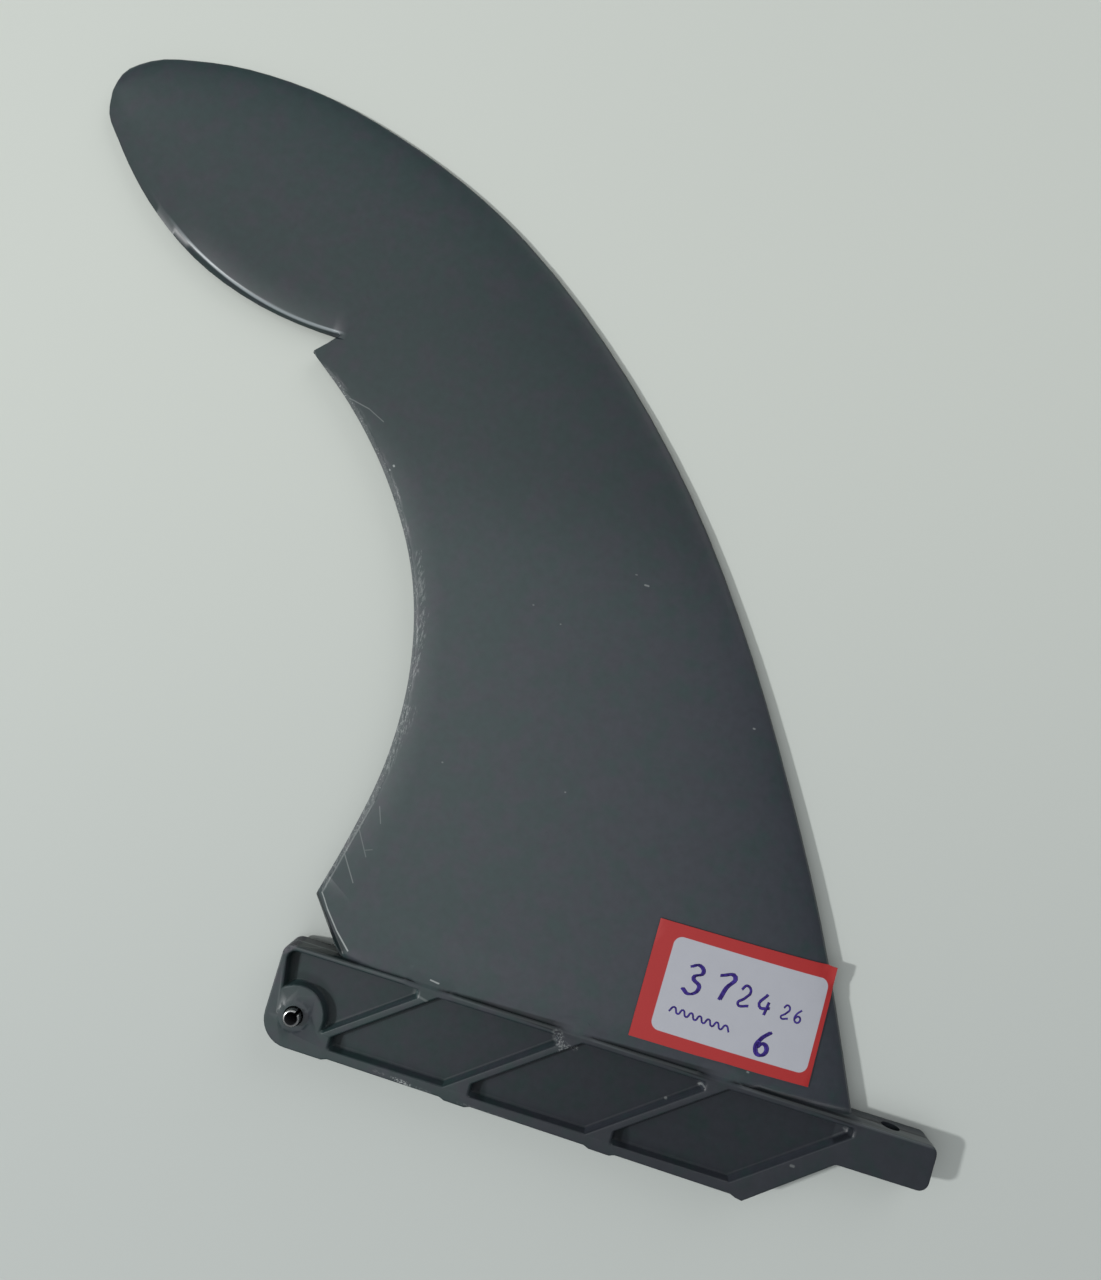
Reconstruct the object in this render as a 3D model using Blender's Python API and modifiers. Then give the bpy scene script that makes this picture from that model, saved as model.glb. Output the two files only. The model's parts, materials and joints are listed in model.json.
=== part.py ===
"""Surfboard centre fin with a long box base, moulded in one piece, lying on its side.

The blade leans back over a base that slides into a long slot in the board. A slotted spring
pin near the rear end of the base rides in the slot's side grooves, and a screw goes down
through the tab at the front end. A curved bite has been cut out of the trailing edge by hand,
and a price sticker is stuck on near the leading edge.

The fin is modelled in its own plane: x forward from the pin's axis along the board line,
y from the board line to the tip, z across the thickness. At the end it is laid down as it
rests on a flat surface, on the pin, the tip and the base's front end.
"""
import math

import bmesh
import bpy
from mathutils import Matrix, Vector
from mathutils.geometry import interpolate_bezier, intersect_point_tri_2d

MM = 0.001
PART_NAME = "surfboard_fin"

# Base, measured from the pin's axis and from the board line
BASE_THICKNESS = 9.4 * MM
REAR_OVERHANG = 7.0 * MM          # pin's axis to the rear end
BASE_DEPTH_REAR = 23.15 * MM      # board line to foot line, below the pin
BASE_DEPTH_FRONT = 24.75 * MM     # the same at the front corner
TAB_REACH = 152.2 * MM            # pin's axis to the tab's end
TAB_LENGTH = 21.5 * MM
TAB_DEPTH = 10.85 * MM
FRONT_SLOPE_DEG = 38.1            # slanted underside between the foot line and the tab
BASE_EDGE_ROUND = 0.8 * MM
REAR_TOP_ROUND = 2.4 * MM
REAR_FOOT_ROUND = 7.0 * MM
TAB_FOOT_ROUND = 2.4 * MM
TAB_TOP_ROUND = 2.1 * MM
INNER_ROUND = 1.4 * MM
PARTING_HEIGHT = 0.25 * MM        # parting line, proud of the base's outline
PARTING_WIDTH = 0.6 * MM

# Low feet under the ribs' lower ends
FOOT_LENGTH = 7.6 * MM
FOOT_RAMP = 1.3 * MM
FOOT_PROUD = 0.5 * MM
FOOT_OFFSET = 4.0 * MM            # foot's centre ahead of the rib's lower end
FOOT_CORNER = 0.4 * MM            # rounding of the feet's corners

# Core-out pockets and the diagonal ribs between them
RIB_COUNT = 3
RIB_START = 16.5 * MM             # first rib's middle, from the pin's axis
FRONT_WALL = 7.7 * MM             # last rib's line to the front end of the base's full depth
RIB_WIDTH = 1.9 * MM
RIB_ANGLE_DEG = 36.9
RAIL_WIDTH = 1.8 * MM             # wall between the pockets and the board line
REAR_RAIL_WIDTH = 1.3 * MM
FOOT_WALL = 2.4 * MM              # wall between the pockets and the foot line
LOW_TIP = 2.9 * MM                # blunt lower tips of the pockets
HIGH_TIP = 1.9 * MM               # blunt upper tips
REAR_WALL = 1.2 * MM              # wall behind the rear pocket, at its top
REAR_WALL_LOW = 2.6 * MM          # and beside the boss
REAR_CORNER = 1.8 * MM
BOSS_RADIUS = 7.3 * MM
BOSS_TIP = 0.9 * MM               # width of the pocket's end between the boss and the first rib
POCKET_DEPTH = 2.8 * MM
POCKET_ROUND = 0.65 * MM          # fillet at the pocket's floor
POCKET_RIM = 0.5 * MM             # rounding of the walls' tops
POCKET_LIFT = 0.02 * MM           # start of that rounding above the face, for a clean cut
POCKET_CORNER = 0.7 * MM
POCKET_DRAFT_DEG = 4.0
POCKET_TAPER = 2.5 * MM           # inset at which the blunt tips would come to a point

# Flush pads where the ribs meet the board line, running out into the blade
PAD_LENGTH = 18.0 * MM
PAD_DEPTH = 16.0 * MM
PAD_SHIFT = 1.2 * MM              # behind the rib's upper end
PAD_SINK = 0.03 * MM              # below the base's face

# Spring pin, its bore and collar, and the screw hole
PIN_DROP = 15.75 * MM             # board line to the pin's axis
PIN_DIAMETER = 4.2 * MM
PIN_WALL = 0.6 * MM
PIN_LENGTH = 14.4 * MM
PIN_CHAMFER = 0.3 * MM
PIN_SLOT = 0.8 * MM
PIN_SLOT_DEG = 57.0
COLLAR_RADIUS = 4.9 * MM
COLLAR_TOP_RADIUS = 3.7 * MM
COLLAR_HEIGHT = 0.5 * MM
COLLAR_SINK = 0.4 * MM            # how far the collar runs down into the base
SCREW_HOLE_DIAMETER = 4.4 * MM
SCREW_INSET = 10.3 * MM           # tab's end to the screw's axis
GAP = 0.3 * MM                    # between pieces that touch

# Blade outline, as shares of the root chord and of the depth
BLADE_DEPTH = 203.2 * MM          # board line to the highest point
ROOT_REAR = 5.0 * MM              # pin's axis to the trailing edge at the board line
ROOT_FRONT = 1.9 * MM             # leading edge at the board line, past the tab's start
ROOT_SINK = 1.2 * MM              # how far the blade runs down into the base
LEADING_LOW = [(1.0, 0.0), (0.957, 0.060)]
LEADING_MIDDLE = [(0.957, 0.060), (0.859, 0.190), (0.722, 0.3445), (0.5705, 0.4956), (0.396, 0.640),
                  (0.1897, 0.7707), (-0.0478, 0.8834)]
LEADING_NOTCH = [(-0.0478, 0.8834), (-0.105, 0.9043)]
LEADING_LOBE = [(-0.105, 0.9043), (-0.322, 0.9626), (-0.5698, 0.9976), (-0.764, 0.9946),
                (-0.8738, 0.9759), (-0.9145, 0.9550), (-0.9263, 0.9280)]
LOWER_CORNER = (-0.0713, 0.0583)
UPPER_CORNER = (-0.3840, 0.6816)
NOTCH = (-0.3428, 0.7067)
TRAILING_LOBE = [NOTCH, (-0.4200, 0.7097), (-0.5314, 0.7219), (-0.6654, 0.7534), (-0.7845, 0.8046),
                 (-0.8848, 0.8706), (-0.9190, 0.9000), (-0.9263, 0.9280)]
CUT = [UPPER_CORNER, (-0.2850, 0.6324), (-0.1628, 0.5497), (-0.0713, 0.4547), (-0.0228, 0.3479),
       (-0.0157, 0.2387), (-0.0432, 0.1309), LOWER_CORNER]
EDGE_BULGE = (3.0 * MM, 1.5 * MM)  # the edge before the bite: along and outside its corners
CUT_OVERRUN = 1.0 * MM
CUT_CLEARANCE = 5.0 * MM

# Blade section: an elliptical nose, a slow run-out, and a facet down to a thin trailing lip
ROOT_THICKNESS = 8.4 * MM
TIP_THICKNESS = 2.3 * MM
THICKEST_SHARE = 0.36             # of the chord, from the leading edge
THICKNESS_POWER = 0.85
TIP_CLOSING = 5.0 * MM            # length over which the tip rounds off
ROOT_DIP = 1.0 * MM               # how much thinner the blade is at the board line
ROOT_DIP_REACH = 6.0 * MM
# Thickness at the facet's crease at the root, lower corner, upper corner, notch and tip
CREASE_THICKNESS = [7.0 * MM, 2.4 * MM, 2.8 * MM, 3.0 * MM, 1.5 * MM]
# Width of the facet at the start and the end of each stretch between those places
FACET_WIDTH = [(2.2 * MM, 0.7 * MM), (0.7 * MM, 0.4 * MM), (0.4 * MM, 0.4 * MM), (1.1 * MM, 2.1 * MM)]
FACET_LIMIT = 0.35                # widest facet, as a share of a short chord
CREASE_SHARE = 0.4                # rounding of the crease, as a share of the facet
LIP_THICKNESS = 0.3 * MM
NOTCH_RUN = 0.012                 # share of the last stretch in which its facet opens out
STATIONS = [7, 20, 2, 26]         # sections between those five places
ARC_RADIUS_PER_STEP = 1.2 * MM    # a corner's arc gets one more step for each of these
NOSE_STEPS = 9
RUN_STEPS = 9
CREASE_STEPS = 3

# Price sticker
LABEL_SIZE = (43.4 * MM, 28.1 * MM)
LABEL_SETBACK = 32.4 * MM         # its middle, behind the tab's start
LABEL_RISE = 17.6 * MM            # and above the board line
LABEL_TURN_DEG = 0.6
LABEL_THICKNESS = 0.2 * MM
LABEL_GRID = (36, 12)
LABEL_FREE_HEIGHT = 1.2 * MM      # height above the middle plane where it overhangs the edge

HALF = BASE_THICKNESS / 2
TAB_START = TAB_REACH - TAB_LENGTH
RIB_SLOPE = math.tan(math.radians(RIB_ANGLE_DEG))
RIB_PITCH = (TAB_START - FRONT_WALL - RIB_START) / RIB_COUNT
ROOT_CHORD = TAB_START + ROOT_FRONT - ROOT_REAR
PIN_RADIUS = PIN_DIAMETER / 2


def clear_scene():
    for thing in list(bpy.data.objects):
        bpy.data.objects.remove(thing, do_unlink=True)


def new_collection(name):
    group = bpy.data.collections.new(name)
    bpy.context.scene.collection.children.link(group)
    return group


def new_material(name, colour, roughness, metallic=0.0):
    material = bpy.data.materials.new(name)
    material.use_nodes = True
    shader = material.node_tree.nodes["Principled BSDF"]
    shader.inputs["Base Color"].default_value = (*colour, 1.0)
    shader.inputs["Roughness"].default_value = roughness
    shader.inputs["Metallic"].default_value = metallic
    return material


def new_object(name, mesh, group, material=None):
    thing = bpy.data.objects.new(name, mesh)
    group.objects.link(thing)
    if material:
        mesh.materials.append(material)
    return thing


def mesh_from(name, bm):
    bmesh.ops.remove_doubles(bm, verts=bm.verts, dist=0.0005 * MM)
    bmesh.ops.recalc_face_normals(bm, faces=bm.faces)
    mesh = bpy.data.meshes.new(name)
    bm.to_mesh(mesh)
    bm.free()
    mesh.shade_smooth()
    mesh.set_sharp_from_angle(angle=math.radians(35))
    return mesh


def as_cutter(thing):
    thing.hide_render = True
    thing.display_type = "WIRE"
    return thing


def add_boolean(thing, other, operation):
    boolean = thing.modifiers.new(other.name, "BOOLEAN")
    boolean.operation = operation
    boolean.solver = "EXACT"
    boolean.object = other


def round_corners(corners, steps=4):
    """Closed outline from (x, y, radius) corners, each replaced by an arc unless its radius is 0."""
    outline = []
    count = len(corners)
    for i, (x, y, radius) in enumerate(corners):
        here = Vector((x, y))
        if radius == 0:
            outline.append(here)
            continue
        back = (Vector(corners[i - 1][:2]) - here).normalized()
        ahead = (Vector(corners[(i + 1) % count][:2]) - here).normalized()
        half_angle = back.angle(ahead) / 2
        centre = here + (back + ahead).normalized() * radius / math.sin(half_angle)
        start = here + back * radius / math.tan(half_angle) - centre
        turn = math.pi - 2 * half_angle
        if back.cross(ahead) > 0:
            turn = -turn
        arc_steps = steps + int(radius / ARC_RADIUS_PER_STEP)
        for k in range(arc_steps + 1):
            outline.append(centre + Matrix.Rotation(turn * k / arc_steps, 2) @ start)
    return outline


def smooth_line(points, steps=12):
    """Smooth open line through the points, turned at each most towards its nearer neighbour."""
    points = [Vector(p) for p in points]
    runs = [b - a for a, b in zip(points, points[1:])]
    tangents = [runs[0].normalized()]
    for before, after in zip(runs, runs[1:]):
        tangent = before.normalized() * after.length + after.normalized() * before.length
        tangents.append(tangent.normalized())
    tangents.append(runs[-1].normalized())
    line = [points[0]]
    for i in range(len(points) - 1):
        reach = (points[i + 1] - points[i]).length / 3
        near = points[i] + tangents[i] * reach
        far = points[i + 1] - tangents[i + 1] * reach
        line += interpolate_bezier(points[i], near, far, points[i + 1], steps + 1)[1:]
    return line


def spaced(line, shares):
    """Points along a line at the given shares of its length."""
    lengths = [0.0]
    for a, b in zip(line, line[1:]):
        lengths.append(lengths[-1] + (b - a).length)
    points = []
    for share in shares:
        target = share * lengths[-1]
        i = 1
        while i < len(lengths) - 1 and lengths[i] < target:
            i += 1
        part = (target - lengths[i - 1]) / (lengths[i] - lengths[i - 1])
        points.append(line[i - 1].lerp(line[i], min(part, 1.0)))
    return points


def prism(name, outline, low, high, group):
    """Closed plate between two heights: a flat face, extruded."""
    bm = bmesh.new()
    face = bm.faces.new([bm.verts.new((p[0], p[1], low)) for p in outline])
    raised = bmesh.ops.extrude_face_region(bm, geom=[face])["geom"]
    top = [v for v in raised if isinstance(v, bmesh.types.BMVert)]
    bmesh.ops.translate(bm, vec=(0, 0, high - low), verts=top)
    return new_object(name, mesh_from(name, bm), group)


def loft(name, rings, group):
    """Closed body through rings of equal point counts, with flat ends."""
    bm = bmesh.new()
    loops = [[bm.verts.new(p) for p in ring] for ring in rings]
    for lower, upper in zip(loops, loops[1:]):
        for i in range(len(lower)):
            j = (i + 1) % len(lower)
            bm.faces.new((lower[i], lower[j], upper[j], upper[i]))
    bm.faces.new(loops[0][::-1])
    bm.faces.new(loops[-1])
    return new_object(name, mesh_from(name, bm), group)


def foot_line(x):
    """Height of the base's underside, which falls away slightly from rear to front."""
    return -BASE_DEPTH_REAR - (BASE_DEPTH_FRONT - BASE_DEPTH_REAR) * x / TAB_START


def rib_middle(k, y):
    """Where rib k's middle line crosses height y."""
    middle = -(BASE_DEPTH_REAR + BASE_DEPTH_FRONT) / 4
    return RIB_START + k * RIB_PITCH + (y - middle) / RIB_SLOPE


def base_outline():
    corners = [(-REAR_OVERHANG, 0.0, REAR_TOP_ROUND),
               (-REAR_OVERHANG, foot_line(0.0) - FOOT_PROUD, REAR_FOOT_ROUND)]
    for k in range(RIB_COUNT + 1):
        centre = rib_middle(k, -BASE_DEPTH_FRONT + FOOT_WALL) + FOOT_OFFSET
        low, high = centre - FOOT_LENGTH / 2, centre + FOOT_LENGTH / 2
        if k > 0:
            corners.append((low, foot_line(low), FOOT_CORNER))
            corners.append((low + FOOT_RAMP, foot_line(low) - FOOT_PROUD, FOOT_CORNER))
        if k < RIB_COUNT:
            corners.append((high - FOOT_RAMP, foot_line(high) - FOOT_PROUD, FOOT_CORNER))
            corners.append((high, foot_line(high), FOOT_CORNER))
    toe = foot_line(TAB_START) - FOOT_PROUD
    toe_x = TAB_START - (-TAB_DEPTH - toe) / math.tan(math.radians(FRONT_SLOPE_DEG))
    corners += [(toe_x, toe, FOOT_CORNER),
                (TAB_START, -TAB_DEPTH, INNER_ROUND),
                (TAB_REACH, -TAB_DEPTH, TAB_FOOT_ROUND),
                (TAB_REACH, 0.0, TAB_TOP_ROUND)]
    return round_corners(corners)


def make_base(group, material):
    """Base plate with rounded long edges and a fine parting line round its middle."""
    base = prism("fin", base_outline(), -HALF, HALF, group)
    base.data.materials.append(material)
    weights = base.data.attributes.new("bevel_weight_edge", "FLOAT", "EDGE")
    for edge in base.data.edges:
        a, b = (base.data.vertices[i].co.z for i in edge.vertices)
        weights.data[edge.index].value = 1.0 if abs(a - b) < 0.01 * MM else 0.0
    bevel = base.modifiers.new("rounded_edges", "BEVEL")
    bevel.limit_method = "WEIGHT"
    bevel.width = BASE_EDGE_ROUND
    bevel.segments = 3
    return base


def make_parting_line(group):
    """Thin plate a little larger than the base, whose rim is the parting line."""
    outline = base_outline()
    bm = bmesh.new()
    face = bm.faces.new([bm.verts.new((p.x, p.y, -PARTING_WIDTH / 2)) for p in outline])
    bmesh.ops.inset_region(bm, faces=[face], thickness=PARTING_HEIGHT, use_even_offset=True, use_outset=True)
    raised = bmesh.ops.extrude_face_region(bm, geom=list(bm.faces))["geom"]
    top = [v for v in raised if isinstance(v, bmesh.types.BMVert)]
    bmesh.ops.translate(bm, vec=(0, 0, PARTING_WIDTH), verts=top)
    return as_cutter(new_object("parting_line", mesh_from("parting_line", bm), group))


def on_blade(share):
    """Point of the fin's plane from shares of the root chord and of the depth."""
    return Vector((ROOT_REAR + share[0] * ROOT_CHORD, share[1] * BLADE_DEPTH))


def leading_edge():
    """The leading edge as one smooth line, split where the trailing edge has its corners."""
    parts = [LEADING_LOW, LEADING_MIDDLE, LEADING_NOTCH, LEADING_LOBE]
    points = [on_blade(p) for part in parts for p in part[:-1]] + [on_blade(parts[-1][-1])]
    steps = 12
    line = smooth_line(points, steps)
    split, start = [], 0
    for part in parts:
        end = start + (len(part) - 1) * steps
        split.append(line[start:end + 1])
        start = end
    return split


def trailing_edge():
    """The trailing edge before the bite was cut, in the same four stretches."""
    root = on_blade((0.0, 0.0))
    lower, upper, notch = on_blade(LOWER_CORNER), on_blade(UPPER_CORNER), on_blade(NOTCH)
    along = (upper - lower).normalized() * EDGE_BULGE[0]
    outward = Vector((-along.y, along.x)).normalized() * EDGE_BULGE[1]
    middle = [lower, lower + along + outward, upper - along + outward, upper]
    return [[root, lower], middle, [upper, notch], smooth_line([on_blade(p) for p in TRAILING_LOBE])]


def half_section(chord, thickest, crease_thickness, facet_width):
    """(share of chord, half thickness) from the leading edge to the trailing edge."""
    points = []
    facet = min(facet_width / chord, FACET_LIMIT)
    crease = Vector((1 - facet, min(crease_thickness, thickest) / 2))
    lip = Vector((1, min(LIP_THICKNESS, crease_thickness) / 2))
    before = crease - Vector((facet * CREASE_SHARE, 0))
    after = crease.lerp(lip, CREASE_SHARE)
    for k in range(NOSE_STEPS):
        angle = math.pi / 2 * k / NOSE_STEPS
        points.append((THICKEST_SHARE * (1 - math.cos(angle)), thickest / 2 * math.sin(angle)))
    for k in range(RUN_STEPS):
        share = k / RUN_STEPS
        fall = 0.5 + 0.5 * math.cos(math.pi * share)
        points.append((THICKEST_SHARE + (before.x - THICKEST_SHARE) * share,
                       crease.y + (thickest / 2 - crease.y) * fall))
    for k in range(CREASE_STEPS + 1):
        turn = k / CREASE_STEPS
        points.append(tuple(before.lerp(crease, turn).lerp(crease.lerp(after, turn), turn)))
    points.append(tuple(lip))
    return points


def blade_stations():
    """Leading point, trailing point, and crease sizes of every section from the root to the tip."""
    stations = []
    for part, (lead, trail) in enumerate(zip(leading_edge(), trailing_edge())):
        shares = [k / STATIONS[part] for k in range(STATIONS[part] + 1)]
        if part == len(STATIONS) - 1:
            shares = [0.0, NOTCH_RUN] + [math.sin(math.pi / 2 * s) for s in shares[1:]]
        for share, a, b in zip(shares, spaced(lead, shares), spaced(trail, shares)):
            if part > 0 and share == 0:
                continue
            thickness = CREASE_THICKNESS[part] * (1 - share) + CREASE_THICKNESS[part + 1] * share
            width = FACET_WIDTH[part][0] * (1 - share) + FACET_WIDTH[part][1] * share
            stations.append((a, b, thickness, width))
    return stations


def sunk_station(root, ahead):
    """The root section, carried on in line with the next one down into the base."""
    share = -ROOT_SINK / (ahead[0].y - root[0].y)
    return root[0].lerp(ahead[0], share), root[1].lerp(ahead[1], share), root[2], root[3]


def blade_thickness(along, length):
    """Greatest thickness at a place along the blade: it thins to the tip and dips at the root."""
    taper = ROOT_THICKNESS + (TIP_THICKNESS - ROOT_THICKNESS) * (along / length) ** THICKNESS_POWER
    return taper - ROOT_DIP * max(0.0, 1 - along / ROOT_DIP_REACH) ** 2


def make_blade(group):
    """Foiled blade: sections strung between the leading and the trailing edge."""
    stations = blade_stations()
    middles = [(a + b) / 2 for a, b, _, _ in stations]
    run = [0.0]
    for a, b in zip(middles, middles[1:]):
        run.append(run[-1] + (b - a).length)
    stations[0] = sunk_station(stations[0], stations[1])
    bm = bmesh.new()
    rings = []
    for (a, b, crease_thickness, facet_width), along in zip(stations[:-1], run):
        left = min((run[-1] - along) / TIP_CLOSING, 1.0)
        closing = math.sqrt(1 - (1 - left) ** 2)
        thickest = blade_thickness(along, run[-1]) * closing
        section = half_section((b - a).length, thickest, crease_thickness * closing, facet_width)
        upper = [(*a.lerp(b, s), h) for s, h in section]
        lower = [(x, y, -z) for x, y, z in upper[::-1][:-1]]
        rings.append([bm.verts.new(p) for p in upper + lower])
    for here, ahead in zip(rings, rings[1:]):
        for i in range(len(here)):
            j = (i + 1) % len(here)
            bm.faces.new((here[i], here[j], ahead[j], ahead[i]))
    bm.faces.new(rings[0][::-1])
    tip = bm.verts.new((*stations[-1][0], 0.0))
    for i in range(len(rings[-1])):
        j = (i + 1) % len(rings[-1])
        bm.faces.new((rings[-1][i], rings[-1][j], tip))
    return as_cutter(new_object("blade", mesh_from("blade", bm), group))


def make_pad(k, group):
    """Squashed ball at the upper end of rib k, whose crown is flush with both faces."""
    bm = bmesh.new()
    centre = Matrix.Translation((rib_middle(k, -RAIL_WIDTH) - PAD_SHIFT, -BASE_EDGE_ROUND, 0))
    size = Matrix.Diagonal((PAD_LENGTH / 2, PAD_DEPTH / 2, HALF - PAD_SINK, 1))
    bmesh.ops.create_uvsphere(bm, u_segments=24, v_segments=16, radius=1, matrix=centre @ size)
    return as_cutter(new_object("pad_%d" % (k + 1), mesh_from("pad", bm), group))


def rib_side(k, y, side, inset):
    """Where the front (side 1) or rear (side -1) wall of rib k crosses height y."""
    return rib_middle(k, y) + side * (RIB_WIDTH / 2 + inset) / math.sin(math.radians(RIB_ANGLE_DEG))


def diamond_pocket(k, inset):
    """Corners of the pocket ahead of rib k: a parallelogram with blunt tips."""
    taper = 1 - inset / POCKET_TAPER
    corner = POCKET_CORNER * taper
    top = -RAIL_WIDTH - inset
    low = foot_line(rib_middle(k + 0.5, -BASE_DEPTH_FRONT)) + FOOT_WALL + inset
    left_tip = rib_side(k, low + LOW_TIP * taper, 1, inset)
    high = top - HIGH_TIP * taper
    right_tip = rib_side(k + 1, high, -1, inset)
    return [(left_tip, low, corner), (rib_side(k + 1, low, -1, inset), low, corner),
            (right_tip, high, corner), (right_tip, top, corner),
            (rib_side(k, top, 1, inset), top, corner), (left_tip, low + LOW_TIP * taper, corner)]


def rear_pocket(k, inset):
    """Corners of the pocket behind rib k, with a wall that curves round the pin's boss."""
    taper = 1 - inset / POCKET_TAPER
    corner = POCKET_CORNER * taper
    top = -REAR_RAIL_WIDTH - inset
    high = top - HIGH_TIP * taper
    right_tip = rib_side(k, high, -1, inset)
    radius = BOSS_RADIUS + inset
    low, above = -PIN_DROP - BOSS_RADIUS / 2, -PIN_DROP + BOSS_RADIUS / 2
    for _ in range(30):
        y = (low + above) / 2
        gap = rib_side(k, y, -1, inset) - math.sqrt(radius ** 2 - (y + PIN_DROP) ** 2)
        if gap < BOSS_TIP * taper:
            low = y
        else:
            above = y
    wall = -REAR_OVERHANG + REAR_WALL_LOW + inset
    first = math.acos(wall / radius)
    last = math.asin((low + PIN_DROP) / radius)
    steps = 12
    arc = []
    for i in range(steps + 1):
        angle = first + (last - first) * i / steps
        arc.append((radius * math.cos(angle), radius * math.sin(angle) - PIN_DROP, 0))
    return [(-REAR_OVERHANG + REAR_WALL + inset, top, REAR_CORNER * taper)] + arc + [
        (rib_side(k, low, -1, inset), low, 0), (right_tip, high, corner), (right_tip, top, corner)]


def pocket_cutter(name, outline, k, group):
    """Drafted cutter from above the face, past a rounded rim, down to a filleted floor."""
    draft = math.tan(math.radians(POCKET_DRAFT_DEG))
    wall_end = POCKET_DEPTH - POCKET_ROUND
    levels = [(-2 * POCKET_RIM, -POCKET_RIM), (-POCKET_LIFT, -POCKET_RIM)]
    for i in (1, 2, 3):
        angle = math.pi / 2 * i / 3
        levels.append((POCKET_RIM * (1 - math.cos(angle)), -POCKET_RIM * (1 - math.sin(angle))))
    for i in range(4):
        angle = math.pi / 2 * i / 3
        inset = (wall_end - POCKET_RIM) * draft + POCKET_ROUND * (1 - math.cos(angle))
        levels.append((wall_end + POCKET_ROUND * math.sin(angle), inset))
    rings = []
    for depth, inset in levels:
        rings.append([(x, y, HALF - depth) for x, y in round_corners(outline(k, inset), steps=2)])
    return loft(name, rings, group)


def make_pockets(group):
    """All pocket cutters of the near side, mirrored to the far side."""
    cutters = [pocket_cutter("pocket_rear", rear_pocket, 0, group)]
    for k in range(RIB_COUNT):
        cutters.append(pocket_cutter("pocket_%d" % (k + 1), diamond_pocket, k, group))
    for cutter in cutters:
        mirror = cutter.modifiers.new("far_side", "MIRROR")
        mirror.use_axis = (False, False, True)
        mirror.merge_threshold = 0.01 * MM
        as_cutter(cutter)
    return cutters


def make_collar(group):
    """Low raised collar round the pin's bore, on both faces."""
    bm = bmesh.new()
    for side in (1, -1):
        place = Matrix.Translation((0, -PIN_DROP, side * (HALF + (COLLAR_HEIGHT - COLLAR_SINK) / 2)))
        turn = Matrix.Rotation(0 if side > 0 else math.pi, 4, "X")
        bmesh.ops.create_cone(bm, cap_ends=True, segments=40, radius1=COLLAR_RADIUS, radius2=COLLAR_TOP_RADIUS,
                              depth=COLLAR_HEIGHT + COLLAR_SINK, matrix=place @ turn)
    return as_cutter(new_object("collar", mesh_from("collar", bm), group))


def make_hole(name, radius, length, matrix, group):
    bm = bmesh.new()
    bmesh.ops.create_cone(bm, cap_ends=True, segments=32, radius1=radius, radius2=radius,
                          depth=length, matrix=matrix)
    return as_cutter(new_object(name, mesh_from(name, bm), group))


def make_cut(group):
    """Cutter for the bite sawn out of the trailing edge."""
    line = smooth_line([on_blade(p) for p in CUT], 8)
    start = line[0] + (line[0] - line[1]).normalized() * CUT_OVERRUN
    end = line[-1] + (line[-1] - line[-2]).normalized() * CUT_OVERRUN
    back = [Vector((start.x - CUT_CLEARANCE, end.y)), Vector((start.x - CUT_CLEARANCE, start.y))]
    outline = [start] + line[1:-1] + [end] + back
    return as_cutter(prism("bite", outline, -BASE_THICKNESS, BASE_THICKNESS, group))


def make_fin(parts, cutters, material):
    """Base with its collar, pads and pockets, then the blade, the holes and the bite."""
    fin = make_base(parts, material)
    add_boolean(fin, make_collar(cutters), "UNION")
    for k in range(RIB_COUNT):
        add_boolean(fin, make_pad(k, cutters), "UNION")
    for pocket in make_pockets(cutters):
        add_boolean(fin, pocket, "DIFFERENCE")
    add_boolean(fin, make_parting_line(cutters), "UNION")
    add_boolean(fin, make_blade(cutters), "UNION")
    pin_axis = Matrix.Translation((0, -PIN_DROP, 0))
    bore = make_hole("bore", PIN_RADIUS + GAP, 2 * BASE_THICKNESS, pin_axis, cutters)
    screw_middle = Matrix.Translation((TAB_REACH - SCREW_INSET, -TAB_DEPTH / 2, 0))
    upright = screw_middle @ Matrix.Rotation(math.pi / 2, 4, "X")
    screw_hole = make_hole("screw_hole", SCREW_HOLE_DIAMETER / 2, 2 * TAB_DEPTH, upright, cutters)
    add_boolean(fin, bore, "DIFFERENCE")
    add_boolean(fin, screw_hole, "DIFFERENCE")
    add_boolean(fin, make_cut(cutters), "DIFFERENCE")
    return fin


def make_pin(parts, cutters, material):
    """Slotted spring pin: a rolled tube with chamfered ends, open along one side."""
    outer, inner = PIN_RADIUS, PIN_RADIUS - PIN_WALL
    end = PIN_LENGTH / 2
    profile = [(outer - PIN_CHAMFER, end), (outer, end - PIN_CHAMFER), (outer, PIN_CHAMFER - end),
               (outer - PIN_CHAMFER, -end), (inner, -end), (inner, end)]
    bm = bmesh.new()
    ring = [bm.verts.new((x, 0, z)) for x, z in profile]
    for i in range(len(ring)):
        bm.edges.new((ring[i], ring[(i + 1) % len(ring)]))
    mesh = bpy.data.meshes.new("roll_pin")
    bm.to_mesh(mesh)
    bm.free()
    pin = new_object("roll_pin", mesh, parts, material)
    screw = pin.modifiers.new("turned", "SCREW")
    screw.steps = screw.render_steps = 40
    screw.use_merge_vertices = True
    screw.merge_threshold = 0.01 * MM
    slot = prism("pin_slot", [(0, -PIN_SLOT / 2), (PIN_DIAMETER, -PIN_SLOT / 2), (PIN_DIAMETER, PIN_SLOT / 2),
                              (0, PIN_SLOT / 2)], -PIN_LENGTH, PIN_LENGTH, cutters)
    for thing in (pin, as_cutter(slot)):
        thing.location = (0, -PIN_DROP, 0)
        thing.rotation_euler.z = math.radians(PIN_SLOT_DEG)
    add_boolean(pin, slot, "DIFFERENCE")
    return pin


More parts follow.
